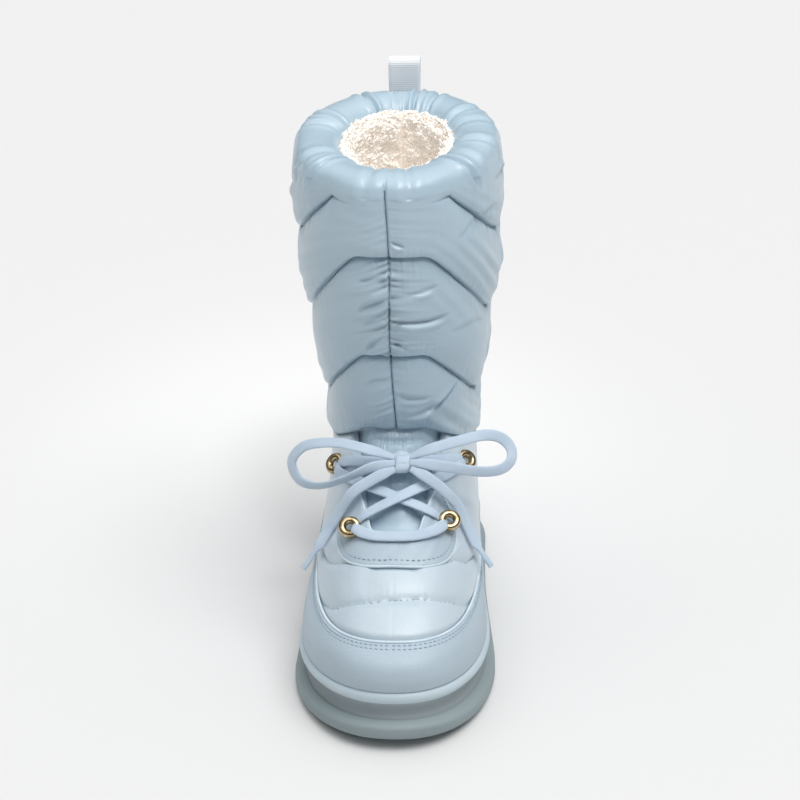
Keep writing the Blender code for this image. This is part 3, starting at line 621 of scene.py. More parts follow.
NYLON = nylon("glossy_nylon", (0.400, 0.530, 0.625), (0.450, 0.575, 0.660))
# The shaft's nylon again, painted lighter where the foot faces up: painted light
VAMP_NYLON_PAINTED_LIGHTER = nylon("nylon_painted_lit", (0.550, 0.655, 0.735), (0.600, 0.700, 0.770))
TREAD_RUBBER = rubber("tread_rubber", (0.275, 0.343, 0.362), (0.308, 0.376, 0.396))
# Lit and shaded copies of one rubber: painted shade in the recess, painted light on the lip
MIDSOLE_RUBBER_PAINTED_SHADE = rubber("midsole_rubber", (0.340, 0.400, 0.425), (0.375, 0.435, 0.460))
LIP_RUBBER_PAINTED_LIGHT = rubber("rubber_painted_light", (0.545, 0.655, 0.715), (0.585, 0.695, 0.755))
LEATHER = make_material(
    "coated_leather", (0.473, 0.576, 0.662), 0.46,
    (14.0, 3.0, (0.456, 0.559, 0.641), (0.494, 0.598, 0.679)),
    ((0.5, 0.25, "Noise", 90.0), (0.22, 0.45, "Voronoi", 900.0),
     (0.12, 0.4, "Noise", 1300.0, 3.0)),
)
PIPING = make_material(
    "pale_piping", (0.68, 0.79, 0.86), 0.42, (50.0, 2.0, (0.64, 0.75, 0.83), (0.72, 0.82, 0.88)),
    ((0.1, 0.4, "Noise", 1200.0),),
)
BRASS = make_material(
    "antique_brass", (0.40, 0.30, 0.17), 0.22,
    (260.0, 3.0, (0.24, 0.175, 0.095), (0.62, 0.49, 0.29)), ((0.08, 0.3, "Noise", 900.0),),
    Metallic=1.0,
)
LACE = make_material(
    "braided_lace", (0.54, 0.67, 0.83), 0.66,
    (60.0, 2.0, (0.530, 0.650, 0.785), (0.580, 0.700, 0.825)),
    [(0.16, 0.5, "Wave", 0.42, axis, (1.0, 1.0, 1.0), 45.0, "UV") for axis in "XY"],
    Sheen_Weight=0.3,
)
WEBBING = make_material(
    "woven_webbing", (0.74, 0.79, 0.84), 0.62,
    (40.0, 2.0, (0.82, 0.855, 0.89), (0.89, 0.915, 0.94)),
    ((0.22, 0.5, "Wave", 260.0, "Z"), (0.12, 0.4, "Wave", 520.0, "X")),
)
# Thread coloured like the nylon, painted darker as the shade in its stitch holes
THREAD_PAINTED_DARKER = make_material(
    "sewing_thread_painted_shade", (0.40, 0.51, 0.60), 0.6,
    (2600.0, 1.0, (0.30, 0.40, 0.49), (0.46, 0.58, 0.68)),
)
# Seam thread coloured dark as painted shadow of the folds between the shaft's rows
SEAM_SHADOW_CORD = make_material(
    "painted_seam_shadow", (0.16, 0.21, 0.26), 0.7,
    (1400.0, 1.0, (0.12, 0.16, 0.205), (0.20, 0.26, 0.315)),
)
# The pile glows faintly cream though it is no lamp: painted light for light bounced inside
PILE_WITH_PAINTED_GLOW = make_material(
    "cream_pile_painted_glow", (0.93, 0.88, 0.82), 0.9,
    (170.0, 4.0, (0.90, 0.83, 0.76), (0.98, 0.95, 0.91)), ((0.06, 0.5, "Noise", 900.0, 3.0),),
    (0.34, 0.62), Sheen_Weight=0.5, Emission_Color=(1.0, 0.92, 0.83, 1.0),
    Emission_Strength=0.16,
)


# Shaft

# Creases of the shaft: start and end as degrees and millimetres of
# height, depth and half width in millimetres
SHAFT_CREASES = (
    (1.0, 254.0, 7.5, 251.0, 0.9, 1.2), (2.0, 222.0, 27.0, 225.0, 0.8, 1.8),
    (0.0, 206.0, 33.0, 205.0, 1.3, 1.9), (0.0, 192.0, 9.0, 187.0, 1.0, 1.3),
    (-2.0, 231.0, -18.0, 228.0, 0.8, 1.6), (-2.0, 219.0, -20.0, 210.0, 0.9, 1.7),
    (-3.0, 210.0, -16.0, 203.0, 0.7, 1.5), (-3.0, 197.0, -16.0, 187.0, 0.9, 1.5),
    (48.0, 155.0, 26.0, 141.0, 1.5, 2.0), (-1.0, 157.0, 25.0, 153.0, 0.8, 1.6),
    (9.0, 142.0, 35.0, 149.0, 0.9, 2.2), (-4.0, 167.0, -18.0, 163.0, 0.6, 1.6),
    (69.0, 258.0, 40.0, 250.0, 0.8, 3.0), (66.0, 188.0, 38.0, 193.0, 0.7, 2.6),
    (-74.0, 279.0, -60.0, 286.0, 1.2, 2.0), (-96.0, 262.0, -70.0, 268.0, 0.9, 2.4),
    (95.0, 266.0, 70.0, 272.0, 1.0, 2.4), (120.0, 262.0, 100.0, 251.0, 0.9, 2.4),
    (-120.0, 255.0, -98.0, 247.0, 0.9, 2.4), (110.0, 222.0, 88.0, 208.0, 1.0, 2.2),
    (-112.0, 218.0, -90.0, 207.0, 1.0, 2.2), (100.0, 168.0, 84.0, 150.0, 1.0, 2.0),
    (-104.0, 166.0, -86.0, 150.0, 1.0, 2.0), (150.0, 244.0, 128.0, 238.0, 0.9, 2.4),
    (-150.0, 243.0, -126.0, 236.0, 0.9, 2.4), (158.0, 206.0, 132.0, 196.0, 1.0, 2.2),
    (-160.0, 204.0, -134.0, 194.0, 1.0, 2.2), (156.0, 150.0, 130.0, 140.0, 1.0, 2.0),
    (-156.0, 152.0, -132.0, 141.0, 1.0, 2.0),
)
CREASE_GAIN = 2.0

# Folds over the collar's roll: degrees at the outside, degrees at the
# inside, depth and half width in millimetres
COLLAR_FOLDS = (
    (-52.0, -38.0, 2.4, 1.4), (54.0, 37.0, 2.8, 1.4), (-66.0, -52.0, 1.2, 2.2),
    (-98.0, -104.0, 1.6, 2.0), (-116.0, -112.0, 2.6, 1.5), (-148.0, -156.0, 2.8, 1.6),
    (171.0, 168.0, 2.8, 1.4), (158.0, 152.0, 1.8, 1.8), (126.0, 122.0, 1.6, 2.0),
    (104.0, 110.0, 1.1, 2.4), (82.0, 76.0, 1.5, 2.2), (58.0, 56.0, 1.0, 2.2),
    (10.0, 14.0, 0.9, 2.6), (-14.0, -10.0, 0.8, 2.6),
)

SHAFT_COLUMNS = 390
ROW_RINGS = (46, 62, 46)
TOP_RINGS = 30
ROLL_RINGS = 40
# How far the columns crowd towards the front
CROWD = 0.34
# Radius that turns angles at the front and back into lengths
SEAM_ARM = 0.068
# Powers of a row's side below and above its fullest place, and their highest product
SAG_LOW = 0.36
SAG_HIGH = 0.62
SAG_SHARE = SAG_LOW / (SAG_LOW + SAG_HIGH)
SAG_PEAK = SAG_SHARE ** SAG_LOW * (1.0 - SAG_SHARE) ** SAG_HIGH
PINCH = 0.0022
PINCH_WIDTH = 0.0010
ROLL_ROOM = 0.0150
ROLL_START = 0.30
# Cords of painted seam shadow: columns, fullness where they show, seat, radius and top
SEAM_SHADOW_COLUMNS = 400
SEAM_SHADOW_SHOWS = 0.52
SEAM_SHADOW_SEAT = 0.00025
SEAM_SHADOW_RADIUS = 0.00048
SEAM_SHADOW_TOP = 0.2835
# How strongly each row is gathered on the front seam
FRONT_PULL = (0.9, 2.3, 0.35, 0.2)
# Middle seam of the front: height, degrees from the toe
FRONT_SEAM = (
    (0.100, -0.5), (0.132, -0.3), (0.181, -2.2), (0.243, -0.9), (0.287, -2.4), (0.300, -2.6),
)


def shaft_radius(phi):
    return np.hypot(0.055 * np.cos(phi), SEAM_ARM * np.sin(phi))


def crowded_circle(count):
    phi = circle(count)
    return phi - CROWD * np.sin(phi)


def crease_field(phi, z):
    """Soft troughs along short lines of angle and height."""
    radius = shaft_radius(phi)
    total = np.zeros(np.broadcast(phi, z).shape)
    for start, low, end, high, depth, width in SHAFT_CREASES:
        middle = math.radians((start + end) / 2.0)
        across = wrapped(phi - middle) * radius
        reach = math.radians(end - start) * shaft_radius(middle) / 2.0
        rise = (high - low) * MM / 2.0
        up = z - (low + high) * MM / 2.0
        length = math.hypot(reach, rise)
        along = (across * reach + up * rise) / length
        off = (across * rise - up * reach) / length
        bow = 0.10 * length * (1.0 - (along / length) ** 2)
        fade = smooth_step(1.35 - np.abs(along) / length)
        taper = 0.8 * width * MM * (0.55 + 0.45 * fade)
        near = (off - bow) / taper
        shape = bump(near, 1.0) - 0.55 * bump(near - 1.9, 1.3)
        total = total - CREASE_GAIN * depth * MM * fade * shape
    return total


def front_seam_field(phi, z, row):
    """The seams down front and back, their dips, and the fabric gathered on them."""
    across = wrapped(phi - np.radians(value_at(FRONT_SEAM, z))) * SEAM_ARM
    away = np.abs(across)
    wave = ripple((z + 0.10 * away) / MM, 61 if row != 1 else 62, 0.72, 4)
    slant = ripple((z + 0.34 * away) / MM, 71, 0.78, 3)
    pull = np.where(across > 0.0, wave, slant)
    near = beside(away, np.where(across > 0.0, 0.011, 0.013))
    back = np.abs(wrapped(phi - math.pi)) * SEAM_ARM
    dips = ((away, 2.3, 0.0008), (away, 1.2, 0.007), (back, 1.5, 0.00085), (back, 0.9, 0.006))
    dent = -MM * sum(depth * bump(distance, width) for distance, depth, width in dips)
    hide = 1.0 - smooth_step((z - 0.286) / 0.006)
    pulled_back = 0.55 * MM * ripple(z / MM, 81, 0.9, 4) * beside(back, 0.011)
    return hide * (dent + FRONT_PULL[row] * 0.62 * MM * pull * near + pulled_back)


def row_edge(index, phi):
    """Height of a seam, which at the front stays below the collar's roll."""
    height = seam_height(index, phi)
    if index == 3:
        height = np.minimum(height, seam_height(4, phi) - ROLL_ROOM)
    return height


def row_fullness(row, phi):
    height = seam_height(row + 1, phi) - seam_height(row, phi)
    return np.clip(height / FULL_ROW, 0.0, 1.0), height


def gathers(phi, distance, seed, depth):
    """Puckers across a seam, strongest just beside it."""
    wave = ripple(phi, seed, 58.0, 4)
    patch = 0.55 + 0.45 * ripple(phi, seed + 50, 3.0, 3)
    return depth * MM * wave * patch * beside(distance, 0.006)


def row_swell(share):
    """The side of a filled row: it hangs over its lower seam and slopes to its upper one."""
    share = np.clip(share, 0.0, 1.0)
    return share ** SAG_LOW * (1.0 - share) ** SAG_HIGH / SAG_PEAK


def quilted_out(phi, row, share):
    """Height of a place in a row, and how far the filled fabric stands out there."""
    z = mix(row_edge(row, phi), row_edge(row + 1, phi), share)
    full, height = row_fullness(row, phi)
    swell = row_swell(share)
    tie = 1.0
    if row == 3:
        tie = smooth_step(full * 1.3)
        out = PUFF * (1.0 - tie + tie * swell * full)
    elif row == 2:
        above, _ = row_fullness(3, phi)
        tie = np.where(share > 0.5, smooth_step(above * 1.3), 1.0)
        out = PUFF * full * (1.0 - tie + tie * swell)
    else:
        out = PUFF * full * swell
    below_away = share * height
    above_away = (1.0 - share) * height
    hold = PINCH * full * smooth_step((height - 0.006) / 0.010)
    out = out - hold * bump(below_away, PINCH_WIDTH) * (row > 0)
    out = out - hold * tie * bump(above_away, PINCH_WIDTH) * (row < 3)
    out = out + gathers(phi, below_away, 11 + row, 0.40) * full
    out = out + gathers(phi, above_away, 12 + row, 0.55 if row < 3 else 0.0) * full * tie
    soft = ripple(phi + 3.0 * share, 31 + row, 3.0, 4) * ripple(z / 0.05, 41 + row, 1.0, 3)
    out = out + 0.55 * MM * soft * swell * full
    out = out + crease_field(phi, z) * swell ** 0.5
    return z, out + front_seam_field(phi, z, row)


def make_shaft():
    phi = crowded_circle(SHAFT_COLUMNS)
    low = seam_height(0, phi)
    top = seam_height(4, phi)
    rings = []
    for row, steps in enumerate(ROW_RINGS):
        even = np.linspace(0.0, 1.0, steps, endpoint=False)
        for share in 0.62 * even + 0.38 * (0.5 - 0.5 * np.cos(math.pi * even)):
            z, out = quilted_out(phi, row, share)
            rings.append(shaft_point(phi, z + (GAP if row + share == 0.0 else 0.0), out))
    span = top - row_edge(3, phi)
    room = 0.44 * COLLAR_WALL
    rises = [quilted_out(phi, 3, share * (span - room) / span)
             for share in np.linspace(0.0, 1.0, TOP_RINGS) ** 1.3]
    rings += [shaft_point(phi, z, out) for z, out in rises]
    control = [np.stack(rises[-5], -1), np.stack(rises[-1], -1)]
    for (drop, inward), give in zip(COLLAR_ROLL, ROLL_GIVE):
        out = mix(rises[-1][1], -inward * COLLAR_WALL, give)
        control.append(np.stack([top - drop * COLLAR_WALL, out], -1))
    for share, wall in LINING[:2]:
        out = np.full(phi.shape, -wall * COLLAR_WALL)
        control.append(np.stack([mix(low, top, share), out], -1))
    start = math.ceil((ROLL_RINGS - 1.0) / (len(control) - 1)) + 1
    roll = resample(control, ROLL_RINGS)[start:]
    rings += [shaft_point(phi, ring[:, 0], ring[:, 1]) for ring in roll]
    last = len(rings)
    for share, wall in LINING[2:]:
        z = mix(low, top, share) + (GAP if share == 0.0 else 0.0)
        rings.append(shaft_point(phi, z, -wall * COLLAR_WALL))
    points = np.array(rings)
    shape_collar(points, phi, sum(ROW_RINGS), last)
    faces = grid_faces(len(rings), SHAFT_COLUMNS, True, True)
    piece("shaft_quilted", points, faces, NYLON, ("shaft",))


def make_shaft_seam_shadows():
    """Seam threads at the bottom of the shaft's valleys, coloured dark as painted shadow of the
    folds.
    """
    around = crowded_circle(SEAM_SHADOW_COLUMNS)
    for row in (1, 2, 3):
        full, _ = row_fullness(row, around)
        shown = full > SEAM_SHADOW_SHOWS
        phi = around[shown]
        z, out = quilted_out(phi, row, 0.0)
        line = shaft_point(phi, z, out + SEAM_SHADOW_SEAT)
        closed = bool(shown.all())
        tube("shaft_seam_%d" % row, line, SEAM_SHADOW_RADIUS, SEAM_SHADOW_CORD, 6, closed)
    line = []
    for row in range(4):
        for share in np.linspace(0.0 if row else 0.03, 1.0, 40, endpoint=False):
            z, _ = quilted_out(np.zeros(1), row, share)
            if z[0] > SEAM_SHADOW_TOP or (line and z[0] < line[-1][2] + 0.0004):
                continue
            phi = np.radians(value_at(FRONT_SEAM, z))
            z, out = quilted_out(phi, row, share)
            line.append(shaft_point(phi, z, out + SEAM_SHADOW_SEAT)[0])
    tube("shaft_front_seam_shadow", np.array(line), SEAM_SHADOW_RADIUS, SEAM_SHADOW_CORD, 6)


def shape_collar(points, phi, first, last):
    """Sinks the folds over the collar's roll along the surface's own normals."""
    body = points[first:last]
    along = np.roll(body, -1, 1) - np.roll(body, 1, 1)
    normal = unit(np.cross(along, np.gradient(body, axis=0)))
    travel = np.linspace(0.0, 1.0, len(body))[:, None]
    share = np.clip((travel - ROLL_START) / (1.0 - ROLL_START), 0.0, 1.0)
    reach = smooth_step(share / 0.22) * (0.75 + 0.25 * share)
    radius = mix(0.063, 0.040, share)
    sink = 0.0
    for outer, inner, depth, width in COLLAR_FOLDS:
        line = np.radians(outer) + wrapped(np.radians(inner - outer)) * share ** 1.3
        off = wrapped(phi - line) * radius / (width * MM)
        shape = bump(off, 1.0) - 0.5 * bump(np.abs(off) - 2.1, 1.1)
        sink = sink + depth * MM * shape * reach
    fine = ripple(phi + 0.25 * share, 91, 46.0, 5)
    slow = np.clip(0.15 + 0.5 * ripple(phi, 92, 4.0, 3), 0.0, 1.5)
    sink = sink + 0.12 * MM * fine * slow * reach * (0.35 + 0.65 * share)
    block = smooth_step(1.6 - np.abs(wrapped(phi - math.pi - 0.02)) / 0.14)
    comb = 1.1 * MM + 0.70 * MM * np.sin(phi * 128.0)
    sink = sink + block * comb * smooth_step((share - 0.15) / 0.2)
    points[first:last] = body - normal * sink[..., None]


PILE_COLUMNS = 240
PILE_ROWS = 96
# The pile's own wall near the collar: level, share of the collar's wall
PILE_EDGE = (1.0 - 0.22 * COLLAR_WALL / 0.19, 0.94)
TUFTS = 8600
# Along a tuft, and its width there
TUFT_STEPS = np.array([0.0, 0.4, 0.75, 1.0])
TUFT_WIDTHS = np.array([1.0, 1.0, 0.75, 0.2])


def make_pile():
    """The pile lining, a lumpy shell with curled tufts on it."""
    phi = circle(PILE_COLUMNS)
    low = seam_height(0, phi)
    top = seam_height(4, phi)
    edge = top - 0.30 * COLLAR_WALL
    walls = sorted((share, wall * COLLAR_WALL) for share, wall in (PILE_EDGE, *LINING))
    share = np.arange(PILE_ROWS)[:, None] / (PILE_ROWS - 1.0)
    z = mix(edge, low + 0.002, share ** 1.25)
    wall = value_at(walls, (z - low) / (top - low))
    base = shaft_point(phi, z, -wall)
    inward = unit(shaft_point(phi, z, -wall - 0.010) - base)
    lumps = [
        0.9 * noise.noise(spot * 70.0) + noise.noise(spot * 150.0)
        + 0.5 * noise.noise(spot * 380.0) for spot in map(Vector, base.reshape(-1, 3))
    ]
    seam = wrapped(phi - math.pi) * 0.045
    deep = np.clip((edge - z) / 0.055, 0.0, 1.6)
    swell = 3.2 + 2.6 * np.reshape(lumps, z.shape) - 6.2 * bump(seam, 0.0030)
    swell = swell + 8.0 * smooth_step(deep)
    lip = smooth_step(np.arange(PILE_ROWS)[:, None] / 5.0)
    face = base + inward * (swell * MM * lip + 0.2 * MM)[..., None]
    back = base[::-1] - inward[::-1] * 0.6 * MM
    faces = grid_faces(2 * PILE_ROWS, PILE_COLUMNS, True, True)
    # The lining's finish carries a painted glow
    piece("pile_lining", np.concatenate([face, back]), faces, PILE_WITH_PAINTED_GLOW, ("shaft",))

    draw = np.random.default_rng(7)
    fall = draw.random(TUFTS) ** 1.7
    i = np.clip((fall * 0.62 * (PILE_ROWS - 1)).astype(int), 0, PILE_ROWS - 2)
    j = draw.integers(0, PILE_COLUMNS, TUFTS)
    keep = np.abs(seam[j]) >= 0.0026
    i = i[keep]
    j = j[keep]
    count = len(i)
    root = face[i, j] + draw.normal(0.0, 0.5 * MM, (count, 3))
    out = inward[i, j]
    lean = unit(draw.normal(0.0, 1.0, (count, 3)))
    length = draw.uniform(2.4, 4.4, count)[:, None] * MM
    thick = draw.uniform(0.7, 1.25, count) * MM
    curl = unit(np.cross(out, lean))
    side = unit(np.cross(out, curl))
    path = (
        root[:, None]
        + out[:, None] * (length * np.sin(TUFT_STEPS * 1.5))[..., None] * 0.34
        + curl[:, None] * (length * TUFT_STEPS ** 1.7)[..., None] * 0.75
    )
    turn = circle(3)
    half = thick[:, None, None] * TUFT_WIDTHS[None, :, None]
    ring = (
        path[:, :, None] + side[:, None, None] * (half * np.cos(turn))[..., None]
        + out[:, None, None] * (half * np.sin(turn))[..., None]
    )
    starts = (np.arange(count) * 12)[:, None, None]
    faces = (grid_faces(4, 3, False, True) + starts).reshape(-1, 4).tolist()
    faces += (np.array([[0, 1, 2], [9, 10, 11]]) + starts).reshape(-1, 3).tolist()
    piece("pile_tufts", ring, faces, PILE_WITH_PAINTED_GLOW)


# Foot

# Sewn lines across the vamp: degrees from the toe, level on the upper
VAMP_LINE_LOW = (
    (-60.0, 0.262), (-40.6, 0.309), (-17.4, 0.390), (8.7, 0.417), (30.6, 0.376), (44.0, 0.314),
    (60.0, 0.262),
)
VAMP_LINE_HIGH = (
    (-95.0, 0.330), (-75.0, 0.370), (-47.9, 0.430), (-28.8, 0.501), (0.0, 0.530), (38.0, 0.497),
    (50.0, 0.440), (75.0, 0.370), (95.0, 0.330),
)
VAMP_REACH = 0.155
# Side of the eyestay: levels on the upper, degrees from the toe
EYESTAY_SIDE = (
    (0.500, 0.508, 0.515, 0.540, 0.590, 0.670, 0.765, 0.800, 1.000),
    (-4.0, 19.0, 30.0, 37.5, 39.5, 37.0, 29.0, 28.0, 28.0),
)
# Columns of the upper over the throat and round the rest
FRONT_COLUMNS = 56
REST_COLUMNS = 300
RAND_COLUMNS = 480
EYESTAY_COLUMNS = 240
TONGUE_COLUMNS = 150
# Sewn lines across the tongue: level, how far the ends drop, depth and half width in
# millimetres
TONGUE_LINES = ((0.790, 0.012, 2.2, 1.3), (0.955, 0.000, 1.3, 1.5), (0.900, 0.010, 0.5, 2.6))


def vamp_field(phi, level):
    """Padding of the foot between its sewn lines, in metres out from the skin."""
    degrees = np.degrees(wrapped(phi))
    rand = rand_level(phi)
    low = np.maximum(value_at(VAMP_LINE_LOW, degrees), rand)
    high = value_at(VAMP_LINE_HIGH, degrees)
    total = 2.9 * MM
    for line in (low, high):
        away = np.abs(level - line) * VAMP_REACH
        total = total * (1.0 - 0.95 * np.exp(-(away / 0.0024) ** 0.9))
    for line, seed in ((low, 101), (high, 102)):
        near = beside(np.abs(level - line) * VAMP_REACH, 0.0026, 0.0008)
        wave = ripple(np.radians(degrees), seed, 60.0, 4)
        total = total + 0.16 * MM * wave * near * (np.abs(degrees) < 90.0)
    soft = ripple(phi * 5.0 + level * 7.0, 111, 1.3, 4) * ripple(level * 9.0 - phi, 112, 1.6, 3)
    total = total + 0.20 * MM * soft
    inside = smooth_step((level - rand) / 0.03)
    side = np.interp(level, *EYESTAY_SIDE)
    under = 1.0 - smooth_step((side - np.abs(degrees) + 5.0) / 8.0)
    collar = smooth_step((1.0 - level) / 0.03)
    return total * inside * under * collar


def make_upper():
    count = FRONT_COLUMNS + REST_COLUMNS
    levels = np.concatenate([
        np.linspace(0.0, THROAT_LOW, 92)[:-1], np.linspace(THROAT_LOW, 1.0, 46),
    ])
    edge = throat_angle(np.maximum(levels, THROAT_LOW))[:, None]
    ahead = np.linspace(-1.0, 1.0, FRONT_COLUMNS, endpoint=False)[None] * edge
    around = edge + (FULL_TURN - 2.0 * edge) * (np.arange(REST_COLUMNS) / REST_COLUMNS)[None]
    phi = np.concatenate([ahead, around], axis=1)
    level = np.broadcast_to(levels[:, None], phi.shape)
    outer = upper_point(phi, level, vamp_field(phi, level))
    inner = upper_point(phi, level, -UPPER_WALL)
    rows = len(levels)
    cell = np.zeros((rows - 1, count), bool)
    cell[levels[:-1] < THROAT_LOW - 1e-9] = True
    cell[:, FRONT_COLUMNS:] = True
    faces = []
    offset = rows * count
    for i, j in np.argwhere(cell).tolist():
        k = (j + 1) % count
        a, b, c, d = i * count + j, i * count + k, (i + 1) * count + k, (i + 1) * count + j
        faces.append((a, b, c, d))
        faces.append((offset + d, offset + c, offset + b, offset + a))
        if i == 0 or not cell[i - 1, j]:
            faces.append((b, a, offset + a, offset + b))
        if i == rows - 2 or not cell[i + 1, j]:
            faces.append((d, c, offset + c, offset + d))
        if not cell[i, k]:
            faces.append((c, b, offset + b, offset + c))
        if not cell[i, j - 1]:
            faces.append((a, d, offset + d, offset + a))
    points = np.concatenate([outer.reshape(-1, 3), inner.reshape(-1, 3)])
    used, index = np.unique([v for face in faces for v in face], return_inverse=True)
    faces = index.reshape(-1, 4)
    # The foot's nylon is painted lighter than the shaft's: painted light
    piece(
        "upper_padded", points[used], faces, VAMP_NYLON_PAINTED_LIGHTER, ("upper",), sharp=50.0
    )


def make_rand():
    phi = circle(RAND_COLUMNS)
    edge = rand_level(phi)
    rings = []
    for share in (*np.linspace(0.0, 0.94, 34), 0.965, 0.985, 0.996, 1.0):
        thick = RAND_THICK * (0.25 + 0.75 * eased_edge((share - 0.955) / 0.045))
        soft = 0.22 * MM * ripple(phi * 3.0 + share * 2.0, 121, 1.2, 4)
        soft = soft * math.sin(math.pi * min(share, 0.94) / 0.94)
        rings.append(upper_point(phi, share * edge, OVERLAY_SEAT + thick + soft))
    for share in (1.0, 0.6, 0.0):
        rings.append(upper_point(phi, share * edge, OVERLAY_SEAT * (0.3 if share else 0.0)))
    faces = grid_faces(len(rings), RAND_COLUMNS, True, True)
    piece("rand_leather", rings, faces, LEATHER, ("rand",))
    bead = upper_point(phi, edge + 0.004, OVERLAY_SEAT + 0.9 * MM)
    tube("rand_piping", bead, 0.95 * MM, PIPING, 8, True)
    phi = np.append(phi, phi[0])
    edge = np.append(edge, edge[0])
    for k, drop in enumerate((0.012, 0.030)):
        path = upper_point(phi, edge - drop, OVERLAY_SEAT + RAND_THICK + 0.12 * MM)
        normals = upper_normal(phi, edge - drop)
        stitch_row("rand_stitches_%d" % (k + 1), path, normals, 2.0, 1.0, 0.34)


def make_eyestay():
    left = [(-a, b, -c, d) for a, b, c, d in reversed(EYESTAY_HALF[1:])]
    path = resample(left + list(EYESTAY_HALF), EYESTAY_COLUMNS)
    inner_phi, inner_level, outer_phi, outer_level = path.T
    inner_phi = np.radians(inner_phi)
    outer_phi = np.radians(outer_phi)
    tops = []
    bottoms = []
    for share in (0.0, 0.01, 0.03, *np.linspace(0.07, 0.93, 26), 0.97, 0.99, 1.0):
        phi = mix(inner_phi, outer_phi, share)
        level = mix(inner_level, outer_level, share)
        rounding = eased_edge(1.0 - min(share, 1.0 - share) / 0.05)
        soft = 0.16 * MM * ripple(phi * 9.0 + share * 3.0, 131, 1.4, 4)
        lift = OVERLAY_SEAT + OVERLAY_THICK * (0.3 + 0.7 * rounding) + soft * rounding
        tops.append(upper_point(phi, level, lift))
        bottoms.append(upper_point(phi, level, -0.2 * MM))
    points = np.array(tops + bottoms[::-1])
    faces = sheet_faces(len(points), EYESTAY_COLUMNS)
    piece("eyestay_leather", points, faces, LEATHER, ("eyestay",), sharp=60.0)
    for name, phi, level, lift, radius in (
        ("eyestay_piping", outer_phi, outer_level, 0.7, 0.85),
        ("throat_piping", inner_phi, inner_level, 0.5, 0.8),
    ):
        bead = upper_point(phi, level, OVERLAY_SEAT + lift * MM)
        tube(name, bead, radius * MM, PIPING, 8)
    inset = 0.82
    phi = mix(inner_phi, outer_phi, inset)
    level = mix(inner_level, outer_level, inset)
    row = upper_point(phi, level, OVERLAY_SEAT + OVERLAY_THICK + 0.26 * MM)
    stitch_row("eyestay_stitches", row, upper_normal(phi, level), 1.9, 1.3, 0.32)


def make_vamp_stitches():
    for name, line, edge in (("low", VAMP_LINE_LOW, 39.0), ("high", VAMP_LINE_HIGH, 80.0)):
        degrees = np.linspace(-edge, edge, 400)
        phi = np.radians(degrees)
        level = value_at(line, degrees)
        keep = level > rand_level(phi) + 0.008
        phi = phi[keep]
        level = level[keep]
        path = upper_point(phi, level, vamp_field(phi, level) + 0.18 * MM)
        normals = upper_normal(phi, level)
        stitch_row("vamp_stitches_" + name, path, normals, 1.9, 1.4, 0.42)


def make_tongue():
    levels = np.linspace(0.56, 1.0, 120)
    edge = throat_angle(np.maximum(levels, THROAT_LOW + 0.02))[:, None]
    phi = np.linspace(-1.0, 1.0, TONGUE_COLUMNS)[None] * (edge + math.radians(6.0))
    level = np.broadcast_to(levels[:, None], phi.shape)
    open_share = np.clip(np.abs(phi) / (edge - math.radians(2.0)), 0.0, 1.0)
    swell = (1.0 - open_share ** 2.2) * smooth_step((level - 0.65) / 0.08)
    out = -(UPPER_WALL + 1.1 * MM) + 3.0 * MM * swell
    for line, bow, depth, width in TONGUE_LINES:
        away = (level - (line - bow * open_share ** 2)) * VAMP_REACH
        out = out - depth * MM * bump(away, width * MM) * swell
        pucker = ripple(phi, int(line * 1000), 75.0, 4)
        out = out + 0.30 * MM * pucker * np.exp(-np.abs(away) / 0.005) * swell
    soft = ripple(phi * 4.0, 141, 2.2, 4) * ripple(level * 22.0, 142, 1.3, 3)
    front = upper_point(phi, level, out + 0.35 * MM * soft * swell)
    back = upper_point(phi, level, -(UPPER_WALL + 3.4 * MM))
    points = np.concatenate([front, back[::-1]])
    faces = sheet_faces(len(points), TONGUE_COLUMNS)
    piece(
        "tongue_padded", points, faces, NYLON, ("tongue",), sharp=60.0
    )


# Sole

SOLE_COLUMNS = 420
RECESS_EXTRA = 0.0016
RECESS_LEVEL = 0.57
RECESS_SPREAD = 0.13
LIP_LEVEL = 0.745
BAND_PROUD = 0.00015
BAND_DEPTH = 0.0090


def make_midsole():
    phi = circle(SOLE_COLUMNS)
    side = resample(MIDSOLE_SIDE, 60)
    deeper = RECESS_EXTRA * bump(side[:, 0] - RECESS_LEVEL, RECESS_SPREAD)
    rings = [sole_point(phi, inset * SOLE_STEP + extra, level)
             for (level, inset), extra in zip(side, deeper)]
    faces = capped_faces(len(rings), SOLE_COLUMNS)
    item = piece(
        "midsole_fine", rings, faces, MIDSOLE_RUBBER_PAINTED_SHADE, ("midsole",), sharp=50.0
    )
    # Faces from the lip up take the copy painted lighter as lit; those below, painted recess
    # shade
    item.data.materials.append(LIP_RUBBER_PAINTED_LIGHT)
    lip = np.searchsorted(side[:, 0], LIP_LEVEL) * SOLE_COLUMNS
    for polygon in item.data.polygons:
        polygon.material_index = int(min(polygon.vertices) >= lip)


def make_tread_band():
    """A smooth skin round the outsole's side; the lugs below stay the CAD's own."""
    phi = circle(SOLE_COLUMNS)
    side = resample(TREAD_SIDE, 34)
    rings = [sole_point(phi, inset * SOLE_STEP - BAND_PROUD, level) for level, inset in side]
    rings.append(sole_point(phi, BAND_DEPTH, side[-1][0], -BAND_PROUD))
    rings.append(sole_point(phi, BAND_DEPTH, side[0][0], BAND_PROUD))
    faces = grid_faces(len(rings), SOLE_COLUMNS, True, True)
    piece("tread_band", rings, faces, TREAD_RUBBER, sharp=50.0)


# Studio

# Sky: height of the direction, then colour
SKY = (
    (0.00, (0.04, 0.045, 0.05)), (0.35, (0.09, 0.095, 0.10)), (0.60, (0.31, 0.315, 0.32)),
    (0.80, (1.28, 1.28, 1.28)), (1.00, (1.80, 1.79, 1.77)),
)
FLOOR_SIZE = 60.0


